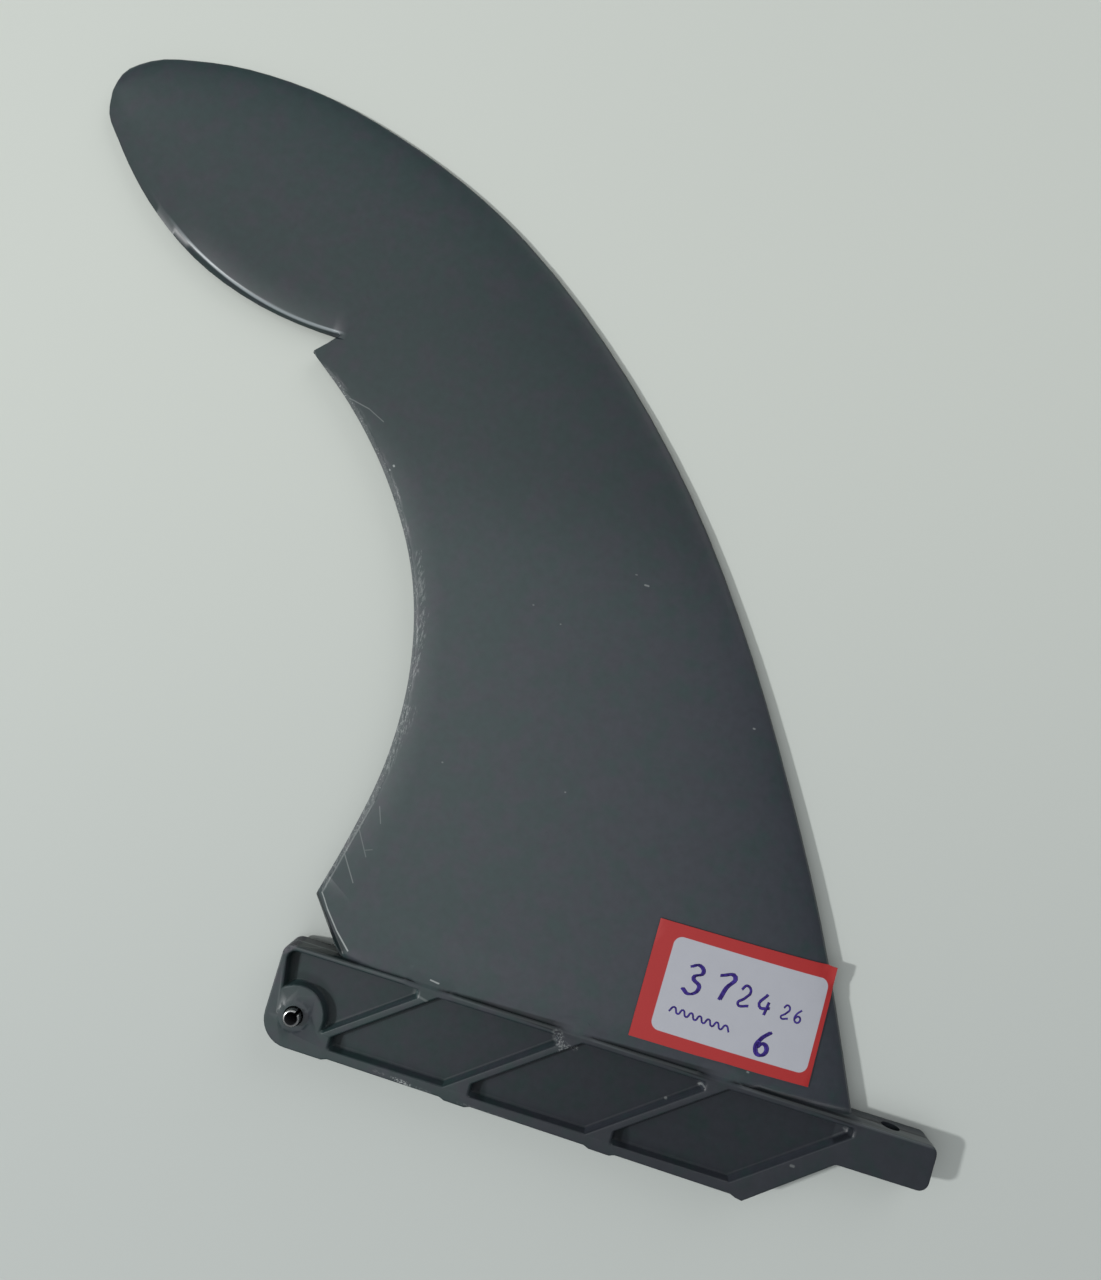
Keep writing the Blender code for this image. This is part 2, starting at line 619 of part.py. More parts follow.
def make_label(parts, material, fin):
    """Paper sticker laid over the blade's curve, a hair proud of it."""
    bm = bmesh.new()
    centre = Matrix.Translation((TAB_START - LABEL_SETBACK, LABEL_RISE, LABEL_FREE_HEIGHT))
    place = centre @ Matrix.Rotation(math.radians(LABEL_TURN_DEG), 4, "Z")
    size = Matrix.Diagonal((LABEL_SIZE[0] / 2, LABEL_SIZE[1] / 2, 1, 1))
    bmesh.ops.create_grid(bm, x_segments=LABEL_GRID[0], y_segments=LABEL_GRID[1], size=1, matrix=place @ size)
    label = new_object("price_label", mesh_from("price_label", bm), parts, material)
    wrap = label.modifiers.new("laid_on", "SHRINKWRAP")
    wrap.target = fin
    wrap.wrap_method = "PROJECT"
    wrap.wrap_mode = "ABOVE_SURFACE"
    wrap.use_project_z = True
    wrap.use_negative_direction = True
    wrap.use_positive_direction = True
    wrap.offset = GAP
    paper = label.modifiers.new("paper", "SOLIDIFY")
    paper.thickness = LABEL_THICKNESS
    paper.offset = 1.0
    return label


def evaluated_points(things):
    """World positions of every vertex of the finished meshes."""
    graph = bpy.context.evaluated_depsgraph_get()
    points = []
    for thing in things:
        shape = thing.evaluated_get(graph)
        mesh = shape.to_mesh()
        points += [shape.matrix_world @ v.co for v in mesh.vertices]
        shape.to_mesh_clear()
    return points


def centre_of_mass(thing):
    graph = bpy.context.evaluated_depsgraph_get()
    shape = thing.evaluated_get(graph)
    mesh = shape.to_mesh()
    mesh.calc_loop_triangles()
    total, moment = 0.0, Vector()
    for triangle in mesh.loop_triangles:
        a, b, c = (shape.matrix_world @ mesh.vertices[i].co for i in triangle.vertices)
        volume = a.dot(b.cross(c)) / 6
        total += volume
        moment += volume * (a + b + c) / 4
    shape.to_mesh_clear()
    return moment / total


def lay_down(holder, things, heavy):
    """Turns the holder so that the things rest on the facet of their hull below the centre of mass."""
    bpy.context.view_layer.update()
    centre = centre_of_mass(heavy)
    bm = bmesh.new()
    for point in evaluated_points(things):
        bm.verts.new(point)
    bmesh.ops.convex_hull(bm, input=bm.verts)
    bmesh.ops.recalc_face_normals(bm, faces=bm.faces)
    normal = Vector((0, 0, -1))
    for face in bm.faces:
        corners = [v.co.xy for v in face.verts]
        if face.normal.z < 0 and intersect_point_tri_2d(centre.xy, *corners[:3]):
            normal = face.normal.copy()
    bm.free()
    holder.rotation_mode = "QUATERNION"
    holder.rotation_quaternion = normal.rotation_difference(Vector((0, 0, -1)))
    bpy.context.view_layer.update()
    points = evaluated_points(things)
    low = Vector([min(p[i] for p in points) for i in range(3)])
    high = Vector([max(p[i] for p in points) for i in range(3)])
    holder.location = (-(low.x + high.x) / 2, -(low.y + high.y) / 2, -low.z)
    bpy.context.view_layer.update()


def main():
    clear_scene()
    parts = new_collection(PART_NAME)
    cutters = new_collection("cutters")
    plastic = new_material("moulded_plastic", (0.045, 0.053, 0.058), 0.42)
    steel = new_material("spring_steel", (0.58, 0.58, 0.56), 0.32, 1.0)
    paper = new_material("sticker_paper", (0.56, 0.05, 0.05), 0.6)

    holder = bpy.data.objects.new("fin_plane", None)
    parts.objects.link(holder)
    fin = make_fin(parts, cutters, plastic)
    pin = make_pin(parts, cutters, steel)
    label = make_label(parts, paper, fin)
    for thing in list(parts.objects) + list(cutters.objects):
        if thing is not holder:
            thing.parent = holder
    lay_down(holder, [fin, pin, label], fin)


main()
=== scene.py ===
# %% [markdown]
# A surfboard's centre fin, lying on its side on a pale table. It is one dark plastic moulding
# with a sprung steel pin through the rear of its base and a price sticker near its leading
# edge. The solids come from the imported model; this script gives them their looks.

# %% Load the model
import bpy
import json
import math
from mathutils import Matrix, Vector
from mathutils.bvhtree import BVHTree


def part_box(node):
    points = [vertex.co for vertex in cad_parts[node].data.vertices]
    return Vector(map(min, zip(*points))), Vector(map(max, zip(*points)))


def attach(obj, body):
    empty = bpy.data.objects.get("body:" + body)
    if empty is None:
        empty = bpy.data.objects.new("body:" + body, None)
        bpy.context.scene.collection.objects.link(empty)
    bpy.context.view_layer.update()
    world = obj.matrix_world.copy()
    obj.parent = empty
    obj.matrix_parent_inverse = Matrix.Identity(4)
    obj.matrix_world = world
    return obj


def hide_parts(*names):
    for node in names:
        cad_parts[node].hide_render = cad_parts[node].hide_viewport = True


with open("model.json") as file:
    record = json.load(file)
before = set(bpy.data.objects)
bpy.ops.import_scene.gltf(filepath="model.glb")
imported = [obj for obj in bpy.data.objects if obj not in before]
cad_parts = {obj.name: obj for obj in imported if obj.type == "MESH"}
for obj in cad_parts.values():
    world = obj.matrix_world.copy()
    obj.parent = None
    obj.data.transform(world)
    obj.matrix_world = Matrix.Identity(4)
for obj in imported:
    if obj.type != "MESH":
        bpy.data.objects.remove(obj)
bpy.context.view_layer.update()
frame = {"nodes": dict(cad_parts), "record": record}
bpy.ops.object.select_all(action="DESELECT")

# %% [markdown]
# Everything on the fin is easiest to place in the fin's own plane: x forward from the pin's
# axis along the board line, y from the board line towards the tip, z out of the side that
# shows. The fin lies a little tilted, so this plane isn't the table. The record's mounts give
# its axes, and the pin's box gives its origin.

# %% The fin's own plane
MM = 0.001
PIN_DROP = 15.75           # board line to the pin's axis, in millimetres


def mount(name):
    for entry in frame["record"]["mounts"]:
        if entry["name"] == name:
            return Vector(entry["pos_m"]), Vector(entry["axis"]).normalized()


def find_plane():
    out = mount("tab_side_up")[1]
    up = mount("screw_seat")[1]
    up = (up - up.dot(out) * out).normalized()
    forward = up.cross(out)
    low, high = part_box("roll_pin")
    origin = (low + high) / 2 + up * PIN_DROP * MM
    turn = Matrix((forward, up, out)).transposed().to_4x4()
    return Matrix.Translation(origin) @ turn


PLANE = find_plane()


def on_plane(x, y, z=0.0):
    """A place in the world from millimetres in the fin's plane."""
    return PLANE @ (Vector((x, y, z)) * MM)


print("plane origin", PLANE.translation)

# %% [markdown]
# The photograph was taken from above by hand, about 26 cm over the fin, so near edges stand
# out and the pocket walls lean outwards. The camera is set in the fin's plane and turned with
# it. A lens of 29.8 mm on a 36 mm long side gives the photograph's angle of view.

# %% Camera
CAMERA_AT = (45.29, 77.99, 256.90)
CAMERA_TURN = (2.700, 2.132, 16.596)
SENSOR_LENGTH = 36.0
FOCAL_SHARE = 1060 / 1280      # of the long side, from how the base's parallel edges converge
LENS = SENSOR_LENGTH * FOCAL_SHARE

camera_data = bpy.data.cameras.new("camera")
camera_data.lens = LENS
camera_data.sensor_width = SENSOR_LENGTH
camera_data.clip_start = 0.01
camera = bpy.data.objects.new("camera", camera_data)
bpy.context.scene.collection.objects.link(camera)
turn = Matrix.Rotation(math.radians(CAMERA_TURN[2]), 4, "Z")
turn = turn @ Matrix.Rotation(math.radians(CAMERA_TURN[1]), 4, "Y")
turn = turn @ Matrix.Rotation(math.radians(CAMERA_TURN[0]), 4, "X")
camera.matrix_world = PLANE @ Matrix.Translation(Vector(CAMERA_AT) * MM) @ turn
bpy.context.scene.camera = camera
print("camera at", camera.matrix_world.translation)

# %% [markdown]
# The light comes from the left of the picture, about half way up the sky: a window some way
# off, which gives the short, clear shadow to the right of the fin. A pale wall on the far side
# lights that shadow and the edges that face it. The ceiling is bright overhead and dims towards
# the walls. Dark plastic mirrors all that softly.

# %% Light
LIGHT_TURN_DEG = 175.0     # direction of the window, anticlockwise from the picture's right
LIGHT_RISE_DEG = 47.0
LIGHT_DISTANCE = 1.6
LIGHT_SIZE = 0.10
LIGHT_POWER = 15.0
CEILING_TILT = (-0.32, 0.06)    # middle of the bright ceiling, towards the picture's right and top
CEILING_REACH = (0.70, 0.996)   # cosines from that middle where it ends and where it is full
CEILING_LEVEL = 1.33
WALL_LEVEL = 0.2
ROOM_COLOUR = (0.96, 0.985, 1.0)
FAR_WALL = (0.62, 0.62, 0.55)   # towards the picture's right, its top and straight up
FAR_WALL_SIZE = 1.2
FAR_WALL_POWER = 5.0


def picture_direction(across, upward, rise):
    """World direction from parts along the picture's right, its top and straight up."""
    axes = camera.matrix_world.to_3x3()
    flat = axes @ Vector((across, upward, 0))
    flat.z = 0
    return (flat + Vector((0, 0, rise))).normalized()


def add_panel(name, direction, distance, size, power):
    data = bpy.data.lights.new(name, "AREA")
    data.shape = "DISK"
    data.size = size
    data.energy = power
    panel = bpy.data.objects.new(name, data)
    bpy.context.scene.collection.objects.link(panel)
    panel.location = direction * distance
    panel.rotation_euler = direction.to_track_quat("Z", "Y").to_euler()


light_turn = math.radians(LIGHT_TURN_DEG)
light_rise = math.tan(math.radians(LIGHT_RISE_DEG))
light_from = picture_direction(math.cos(light_turn), math.sin(light_turn), light_rise)
add_panel("window", light_from, LIGHT_DISTANCE, LIGHT_SIZE, LIGHT_POWER)
add_panel("far_wall", picture_direction(*FAR_WALL), LIGHT_DISTANCE, FAR_WALL_SIZE, FAR_WALL_POWER)

world = bpy.data.worlds.new("room")
bpy.context.scene.world = world
world.use_nodes = True
nodes, links = world.node_tree.nodes, world.node_tree.links
where = nodes.new("ShaderNodeTexCoord")
facing = nodes.new("ShaderNodeVectorMath")
facing.operation = "DOT_PRODUCT"
facing.inputs[1].default_value = picture_direction(*CEILING_TILT, 1.0)
fade = nodes.new("ShaderNodeMapRange")
fade.interpolation_type = "SMOOTHSTEP"
fade.inputs["From Min"].default_value = CEILING_REACH[0]
fade.inputs["From Max"].default_value = CEILING_REACH[1]
fade.inputs["To Min"].default_value = WALL_LEVEL
fade.inputs["To Max"].default_value = CEILING_LEVEL
links.new(where.outputs["Generated"], facing.inputs[0])
links.new(facing.outputs["Value"], fade.inputs["Value"])
links.new(fade.outputs["Result"], nodes["Background"].inputs["Strength"])
nodes["Background"].inputs["Color"].default_value = (*ROOM_COLOUR, 1)
bpy.context.scene.view_settings.view_transform = "Standard"
print("window from", light_from)

# %% [markdown]
# A material is a small program of nodes. These helpers place a node, feed it with plain
# numbers or with other nodes' outputs, and give back its output, so that the materials below
# read like sums. Each works in a material and in a shared node group alike.

# %% Node helpers
def feed(tree, socket, value):
    if isinstance(value, bpy.types.NodeSocket):
        tree.links.new(value, socket)
    else:
        socket.default_value = value


def calc(tree, operation, *values):
    node = tree.nodes.new("ShaderNodeMath")
    node.operation = operation
    for socket, value in zip(node.inputs, values):
        feed(tree, socket, value)
    return node.outputs[0]


def product(tree, *masks):
    total = masks[0]
    for mask in masks[1:]:
        total = calc(tree, "MULTIPLY", total, mask)
    return total


def strongest(tree, *masks):
    total = masks[0]
    for mask in masks[1:]:
        total = calc(tree, "MAXIMUM", total, mask)
    return total


def lessened(tree, mask, share=1.0):
    """1 where a mask is 0, and less by a share of the mask where it isn't."""
    return calc(tree, "SUBTRACT", 1.0, product(tree, mask, share))


def vector_calc(tree, operation, *values, result="Vector"):
    node = tree.nodes.new("ShaderNodeVectorMath")
    node.operation = operation
    for socket, value in zip(node.inputs, values):
        feed(tree, socket, value)
    return node.outputs[result]


def scaled(tree, vector, share):
    node = tree.nodes.new("ShaderNodeVectorMath")
    node.operation = "SCALE"
    tree.links.new(vector, node.inputs[0])
    feed(tree, node.inputs["Scale"], share)
    return node.outputs["Vector"]


def parts_of(tree, vector):
    node = tree.nodes.new("ShaderNodeSeparateXYZ")
    tree.links.new(vector, node.inputs[0])
    return node.outputs["X"], node.outputs["Y"], node.outputs["Z"]


def step(tree, value, start, end):
    """Smooth change from 0 at start to 1 at end; end may be the smaller."""
    node = tree.nodes.new("ShaderNodeMapRange")
    node.interpolation_type = "SMOOTHSTEP"
    flipped = start > end
    feed(tree, node.inputs["Value"], value)
    node.inputs["From Min"].default_value = min(start, end)
    node.inputs["From Max"].default_value = max(start, end)
    node.inputs["To Min"].default_value = 1.0 if flipped else 0.0
    node.inputs["To Max"].default_value = 0.0 if flipped else 1.0
    return node.outputs["Result"]


def noise(tree, place, scale, detail, rough):
    node = tree.nodes.new("ShaderNodeTexNoise")
    feed(tree, node.inputs["Vector"], place)
    node.inputs["Scale"].default_value = scale
    node.inputs["Detail"].default_value = detail
    node.inputs["Roughness"].default_value = rough
    return node.outputs["Fac"]


def blend(tree, share, first, second):
    node = tree.nodes.new("ShaderNodeMix")
    node.data_type = "RGBA"
    feed(tree, node.inputs["Factor"], share)
    feed(tree, node.inputs[6], (*first, 1) if isinstance(first, tuple) else first)
    feed(tree, node.inputs[7], (*second, 1) if isinstance(second, tuple) else second)
    return node.outputs[2]


def fall(tree, depth, reach, drop):
    """Height lost within a reach of an edge, more steeply the nearer the edge."""
    share = calc(tree, "SUBTRACT", 1.0, calc(tree, "DIVIDE", depth, reach))
    share = calc(tree, "MAXIMUM", share, 0.0)
    return product(tree, calc(tree, "POWER", share, 2.0), -drop)


def bumped(tree, relief, distance, strength, normal=None):
    node = tree.nodes.new("ShaderNodeBump")
    node.inputs["Strength"].default_value = strength
    node.inputs["Distance"].default_value = distance
    tree.links.new(relief, node.inputs["Height"])
    if normal:
        tree.links.new(normal, node.inputs["Normal"])
    return node.outputs["Normal"]


def plane_place(tree):
    """The surface's place in the fin's plane, in millimetres, from Object coordinates."""
    back = PLANE.inverted()
    mapping = tree.nodes.new("ShaderNodeMapping")
    mapping.inputs["Location"].default_value = back.translation / MM
    mapping.inputs["Rotation"].default_value = back.to_euler()
    mapping.inputs["Scale"].default_value = (1 / MM, 1 / MM, 1 / MM)
    where = tree.nodes.new("ShaderNodeTexCoord")
    tree.links.new(where.outputs["Object"], mapping.inputs["Vector"])
    return mapping.outputs["Vector"]


def new_material(name, roughness, metallic=0.0):
    material = bpy.data.materials.new(name)
    material.use_nodes = True
    shader = material.node_tree.nodes["Principled BSDF"]
    shader.inputs["Roughness"].default_value = roughness
    shader.inputs["Metallic"].default_value = metallic
    return material, material.node_tree, shader


print("helpers ready")

# %% [markdown]
# What several marks or materials share is a node group: it is built once, has named inputs and
# one output, and is then placed like any other node, each time with its own values.

# %% Shared groups
PLACE, NUMBER = "NodeSocketVector", "NodeSocketFloat"


def new_group(name, inputs, output):
    group = bpy.data.node_groups.new(name, "ShaderNodeTree")
    for title, kind in inputs.items():
        group.interface.new_socket(title, in_out="INPUT", socket_type=kind)
    group.interface.new_socket(output, in_out="OUTPUT", socket_type="NodeSocketFloat")
    entry = group.nodes.new("NodeGroupInput")
    leave = group.nodes.new("NodeGroupOutput")
    return group, entry.outputs, leave.inputs[output]


def use_group(tree, group, **values):
    node = tree.nodes.new("ShaderNodeGroup")
    node.node_tree = group
    for title, value in values.items():
        feed(tree, node.inputs[title], value)
    return node.outputs[0]


print("groups can be made")

# %% [markdown]
# Scratches, glints and specks are all short marks, so one shared group draws them: it measures
# how far the surface is from a straight stroke between two places, across the fin's plane, and
# fades the mark out at its width. What goes into the group is a function as well, because a
# mask that also sets how much the plastic mirrors is placed as plain nodes, without a group.

# %% Shared group: a stroke
STROKE_SIDES = (1.0, 0.35)         # shares of its half width where it ends and where it is full


def stroke(tree, place, start, end, width):
    flat = vector_calc(tree, "MULTIPLY", place, (1, 1, 0))
    run = vector_calc(tree, "SUBTRACT", end, start)
    reach = vector_calc(tree, "SUBTRACT", flat, start)
    ahead = vector_calc(tree, "DOT_PRODUCT", reach, run, result="Value")
    length = vector_calc(tree, "DOT_PRODUCT", run, run, result="Value")
    along = calc(tree, "DIVIDE", ahead, length)
    along = calc(tree, "MINIMUM", calc(tree, "MAXIMUM", along, 0.0), 1.0)
    nearest = vector_calc(tree, "ADD", start, scaled(tree, run, along))
    away = vector_calc(tree, "DISTANCE", flat, nearest, result="Value")
    return step(tree, calc(tree, "DIVIDE", away, width), *STROKE_SIDES)


stroke_group, given, out = new_group(
    "stroke", {"Place": PLACE, "Start": PLACE, "End": PLACE, "Width": NUMBER}, "Mask")
mask = stroke(stroke_group, given["Place"], given["Start"], given["End"], given["Width"])
stroke_group.links.new(mask, out)
print("stroke", len(stroke_group.nodes), "nodes")

# %% [markdown]
# A second group gives the fine unevenness that a moulded or pressed surface has.

# %% Shared group: fine grain
COARSE_GRAIN = (1.1, 3.0, 0.6)     # a noise: scale a millimetre, detail, roughness
FINE_GRAIN = (6.0, 2.0, 0.7)

grain_group, given, out = new_group("fine_grain", {"Place": PLACE, "Coarse": NUMBER}, "Height")
coarse = product(grain_group, noise(grain_group, given["Place"], *COARSE_GRAIN), given["Coarse"])
fine = noise(grain_group, given["Place"], *FINE_GRAIN)
grain_group.links.new(calc(grain_group, "ADD", coarse, fine), out)
print("fine grain", len(grain_group.nodes), "nodes")

# %% [markdown]
# A third tells whether a place is inside a rectangle with round corners. The sticker's white
# field is one, and so is the part of the base where the pockets are. It is a function too, for
# the same reason as the stroke.

# %% Shared group: rounded field
def rounded_field(tree, place, middle, half, radius, soft):
    offset = vector_calc(tree, "SUBTRACT", place, middle)
    offset = vector_calc(tree, "SUBTRACT", vector_calc(tree, "ABSOLUTE", offset), half)
    across, upward, _ = parts_of(tree, offset)
    across = calc(tree, "ADD", across, radius)
    upward = calc(tree, "ADD", upward, radius)
    across_squared = calc(tree, "POWER", calc(tree, "MAXIMUM", across, 0.0), 2.0)
    upward_squared = calc(tree, "POWER", calc(tree, "MAXIMUM", upward, 0.0), 2.0)
    outside = calc(tree, "SQRT", calc(tree, "ADD", across_squared, upward_squared))
    inside = calc(tree, "MINIMUM", calc(tree, "MAXIMUM", across, upward), 0.0)
    depth = calc(tree, "SUBTRACT", calc(tree, "ADD", outside, inside), radius)
    return step(tree, calc(tree, "DIVIDE", depth, soft), 0.5, -0.5)


field_group, given, out = new_group(
    "rounded_field",
    {"Place": PLACE, "Middle": PLACE, "Half": PLACE, "Radius": NUMBER, "Soft": NUMBER}, "Mask")
values = [given[title] for title in ("Place", "Middle", "Half", "Radius", "Soft")]
field_group.links.new(rounded_field(field_group, *values), out)
print("rounded field", len(field_group.nodes), "nodes")

# %% [markdown]
# The table is a plain pale sheet, a little greenish. It carries no pattern, only the shadow,
# and painted shade darkens it a little towards the picture's lower side.

# %% Table
TABLE_COLOUR = (0.550, 0.580, 0.540)
TABLE_SHADED_COLOUR = (0.475, 0.505, 0.485)
TABLE_FADE = (0.10, -0.16)         # metres up the picture where each of the two is reached
TABLE_SIZE = 6

table_material, tree, shader = new_material("pale_table", 0.9)
place = tree.nodes.new("ShaderNodeTexCoord").outputs["Object"]
up_picture = picture_direction(0.0, 1.0, 0.0)
height = vector_calc(tree, "DOT_PRODUCT", place, up_picture, result="Value")
# Painted shade: the colour darkens towards the picture's lower side
colour = blend(tree, step(tree, height, *TABLE_FADE), TABLE_COLOUR, TABLE_SHADED_COLOUR)
feed(tree, shader.inputs["Base Color"], colour)

bpy.ops.mesh.primitive_plane_add(size=TABLE_SIZE, location=(0, 0, 0))
table = bpy.context.object
table.name = "table"
table.data.materials.append(table_material)
table.select_set(False)
print("table", TABLE_COLOUR)

# %% [markdown]
# The marks on the fin are listed with their places in millimetres: thin scratches on the
# blade, worn spots with a painted glint where the ribs meet the board line, and a few pale
# specks. The scuffs are wider and break up into flecks. Each mark is a start, an end, a half
# width and a strength.

# %% Marks
MARKS = [
    (-31.6, 129.8, -26.2, 128.6, 0.20, 0.22), (-26.2, 128.6, -21.8, 126.5, 0.18, 0.18),
    (4.7, 36.6, 6.1, 32.8, 0.18, 0.18), (1.6, 29.8, 5.0, 24.1, 0.18, 0.16),
    (4.4, 25.6, 6.0, 26.2, 0.15, 0.14), (-0.1, 23.2, 3.8, 17.3, 0.20, 0.24),
    (28.6, 1.4, 30.7, 1.2, 0.24, 0.55), (26.4, -2.6, 29.5, -3.3, 0.40, 0.14),
    (96.0, -3.3, 96.9, -2.9, 0.35, 0.30), (131.0, -3.1, 131.5, -3.3, 0.30, 0.10),
    (120.9, -14.0, 121.5, -14.0, 0.45, 0.18), (89.4, -8.8, 89.6, -8.7, 0.35, 0.22),
    (105.7, 3.1, 106.0, 3.1, 0.30, 0.30), (85.3, 80.3, 85.6, 80.3, 0.30, 0.30),
    (-16.2, 116.8, -16.1, 116.7, 0.35, 0.60), (-16.9, 115.6, -16.8, 115.5, 0.28, 0.45),
    (50.8, 105.9, 51.7, 105.9, 0.30, 0.30), (48.0, 107.7, 48.3, 107.7, 0.22, 0.20),
    (26.4, 93.7, 26.5, 93.7, 0.28, 0.18), (34.0, 91.1, 34.1, 91.1, 0.25, 0.20),
    (16.2, 51.2, 16.3, 51.2, 0.28, 0.20), (46.5, 53.0, 46.6, 53.0, 0.25, 0.25)]
# Painted highlight along the crease of the rear edge, above the base
CREASE = [
    (3.1, 37.4, -2.7, 12.9, 0.26, 0.22), (-2.7, 12.9, -0.2, 9.6, 0.20, 0.55),
    (-0.2, 9.6, 3.6, 5.5, 0.22, 0.60), (3.6, 5.5, 7.6, 2.0, 0.24, 0.65)]
SCUFFS = [
    (60.8, -1.6, 62.6, -3.9, 1.80, 0.32), (62.0, -3.2, 65.9, -4.0, 1.0, 0.26),
    (27.1, -22.7, 31.2, -23.0, 0.60, 0.60), (22.0, -22.3, 36.0, -23.3, 0.45, 0.12),
    (43.0, -23.4, 62.0, -23.9, 0.40, 0.09)]
# Scratched places beside the cut, with streaks along it
STREAKS = [
    (4.6, 60.5, 2.6, 46.0, 2.6, 0.55), (1.8, 40.0, -1.4, 27.0, 2.2, 0.45),
    (-1.6, 25.0, -3.6, 15.0, 2.4, 0.38), (1.6, 84.0, 3.4, 70.0, 1.6, 0.45),
    (-4.0, 98.0, 0.6, 86.0, 1.3, 0.35)]
# Painted shade: the rounded foot of the rear pocket's wall, the other pockets' left tips and
# the facet behind the bright line
SHADES = [
    (-4.4, -3.6, -4.4, -8.8, 2.3, 0.50), (11.3, -18.4, 12.1, -20.6, 2.0, 0.35),
    (46.6, -18.6, 47.4, -20.8, 2.0, 0.35), (81.9, -18.8, 82.7, -21.0, 2.0, 0.35),
    (-3.9, 12.0, -0.9, 8.4, 1.1, 0.60), (-0.9, 8.4, 2.8, 4.4, 1.3, 0.65),
    (2.8, 4.4, 5.8, 1.6, 1.5, 0.65)]
# Places that are shaded as if flat: where each rib runs out on the blade, and the left edge of
# the tip, fading towards the notch
FLUSH = [
    (24.6, 0.6, 32.4, 0.6, 3.2, 1.0), (61.0, 0.4, 67.4, 0.4, 2.6, 0.6),
    (96.6, 0.8, 103.0, 0.8, 3.2, 1.0),
    (-114.6, 191.0, -112.0, 183.2, 3.4, 1.0), (-112.0, 183.2, -104.8, 173.6, 3.4, 1.0),
    (-104.8, 173.6, -94.0, 162.8, 2.8, 1.0), (-94.0, 162.8, -88.5, 158.4, 2.8, 0.65),
    (-88.5, 158.4, -84.0, 155.6, 2.8, 0.30)]


def grouped_stroke(tree, place, start, end, width):
    return use_group(tree, stroke_group, Place=place, Start=start, End=end, Width=width)


def strongest_mark(tree, place, marks, draw=grouped_stroke):
    mask = 0.0
    for x0, y0, x1, y1, width, strength in marks:
        one = draw(tree, place, (x0, y0, 0), (x1, y1, 0), width)
        mask = calc(tree, "MAXIMUM", product(tree, one, strength), mask)
    return mask


print(len(MARKS), "marks and", len(SCUFFS), "scuffs")

# %% [markdown]
# The plastic is dark and slightly glossy, and its colour wanders softly between a teal and a
# violet grey, a little more violet towards the front. A slow noise blends the two. This and all
# that follows is worked out from the place on the fin in millimetres, so that each look can be
# set down where the real fin has it. Most limits are pairs: the mask is nothing at the first
# number and full at the second.

# %% Moulded plastic: hue
TEAL_GREY = (0.0175, 0.0355, 0.0365)
VIOLET_GREY = (0.0275, 0.0320, 0.0415)
CLOUDS = (0.19, 4.0, 0.6)          # a noise: scale a millimetre, detail, roughness
HUE_LIMITS = (0.38, 0.74)          # noise at which the one and the other colour is pure
FORWARD = (0.0, 90.0)
VIOLET_FORWARD = 0.16
SHOWN_SIDE = (0.2, 0.6)            # keeps the marks off the other side

plastic, tree, shader = new_material("moulded_plastic", 0.36)
place = plane_place(tree)
flat_place = vector_calc(tree, "MULTIPLY", place, (1, 1, 0))
x, y, z = parts_of(tree, place)
height = calc(tree, "ABSOLUTE", z)
near_side = step(tree, z, *SHOWN_SIDE)

clouds = noise(tree, place, *CLOUDS)
hue = calc(tree, "MULTIPLY_ADD", step(tree, x, *FORWARD), VIOLET_FORWARD, clouds)
colour = blend(tree, step(tree, hue, *HUE_LIMITS), TEAL_GREY, VIOLET_GREY)
print("plastic hue", len(tree.nodes), "nodes")

# %% [markdown]
# The pockets' floors are duller than the ribs, which rubbing has polished; the walls get
# painted light and the floors painted shade. How far a face is from the fin's middle plane tells
# floors, walls and ribs apart. That holds only inside the base, so a rounded field and a slanted
# limit at its front close it in.

# %% Moulded plastic: pockets
POCKETS_MIDDLE = (61.6, -11.8, 0)
POCKETS_HALF = (67.4, 10.6, 1)
POCKETS_CORNER = 1.0
POCKETS_SOFT = 0.6
FRONT_SLOPE = (0.617, -0.787, 0)   # square to the slanted face under the base's front
FRONT_LIMIT = (87.4, 86.6)         # how far that way the last pocket reaches
WALL_TOP = (4.55, 4.0)
WALL_FOOT = (1.95, 2.6)
FLOOR_TOP = (2.6, 2.0)

pockets = rounded_field(tree, place, POCKETS_MIDDLE, POCKETS_HALF, POCKETS_CORNER, POCKETS_SOFT)
towards_front = vector_calc(tree, "DOT_PRODUCT", place, FRONT_SLOPE, result="Value")
pockets = product(tree, pockets, step(tree, towards_front, *FRONT_LIMIT))
wall = product(tree, step(tree, height, *WALL_TOP), step(tree, height, *WALL_FOOT), pockets)
floor = product(tree, step(tree, height, *FLOOR_TOP), pockets)
print("pockets", len(tree.nodes), "nodes")

# %% [markdown]
# Some places get painted shade, darker than the light alone makes them: the foot of the round
# boss and of some walls, where the real rounds are wider, and the facet behind the rear edge's
# bright line.

# %% Moulded plastic: painted shade
BOSS_FOOT_START = (6.9, 7.5)       # distances from the pin's axis
BOSS_FOOT_END = (10.3, 9.0)
BOSS_SHADE = 0.2
UNDER_RIBS = (4.6, 4.3)            # shades stay below the ribs' faces

from_pin = vector_calc(tree, "DISTANCE", flat_place, (0, -PIN_DROP, 0), result="Value")
boss_foot = product(
    tree, step(tree, from_pin, *BOSS_FOOT_START), step(tree, from_pin, *BOSS_FOOT_END),
    strongest(tree, wall, floor))
shades = product(tree, strongest_mark(tree, place, SHADES, stroke), step(tree, height, *UNDER_RIBS))
shades = strongest(tree, shades, product(tree, boss_foot, BOSS_SHADE))
print("dark places", len(tree.nodes), "nodes")
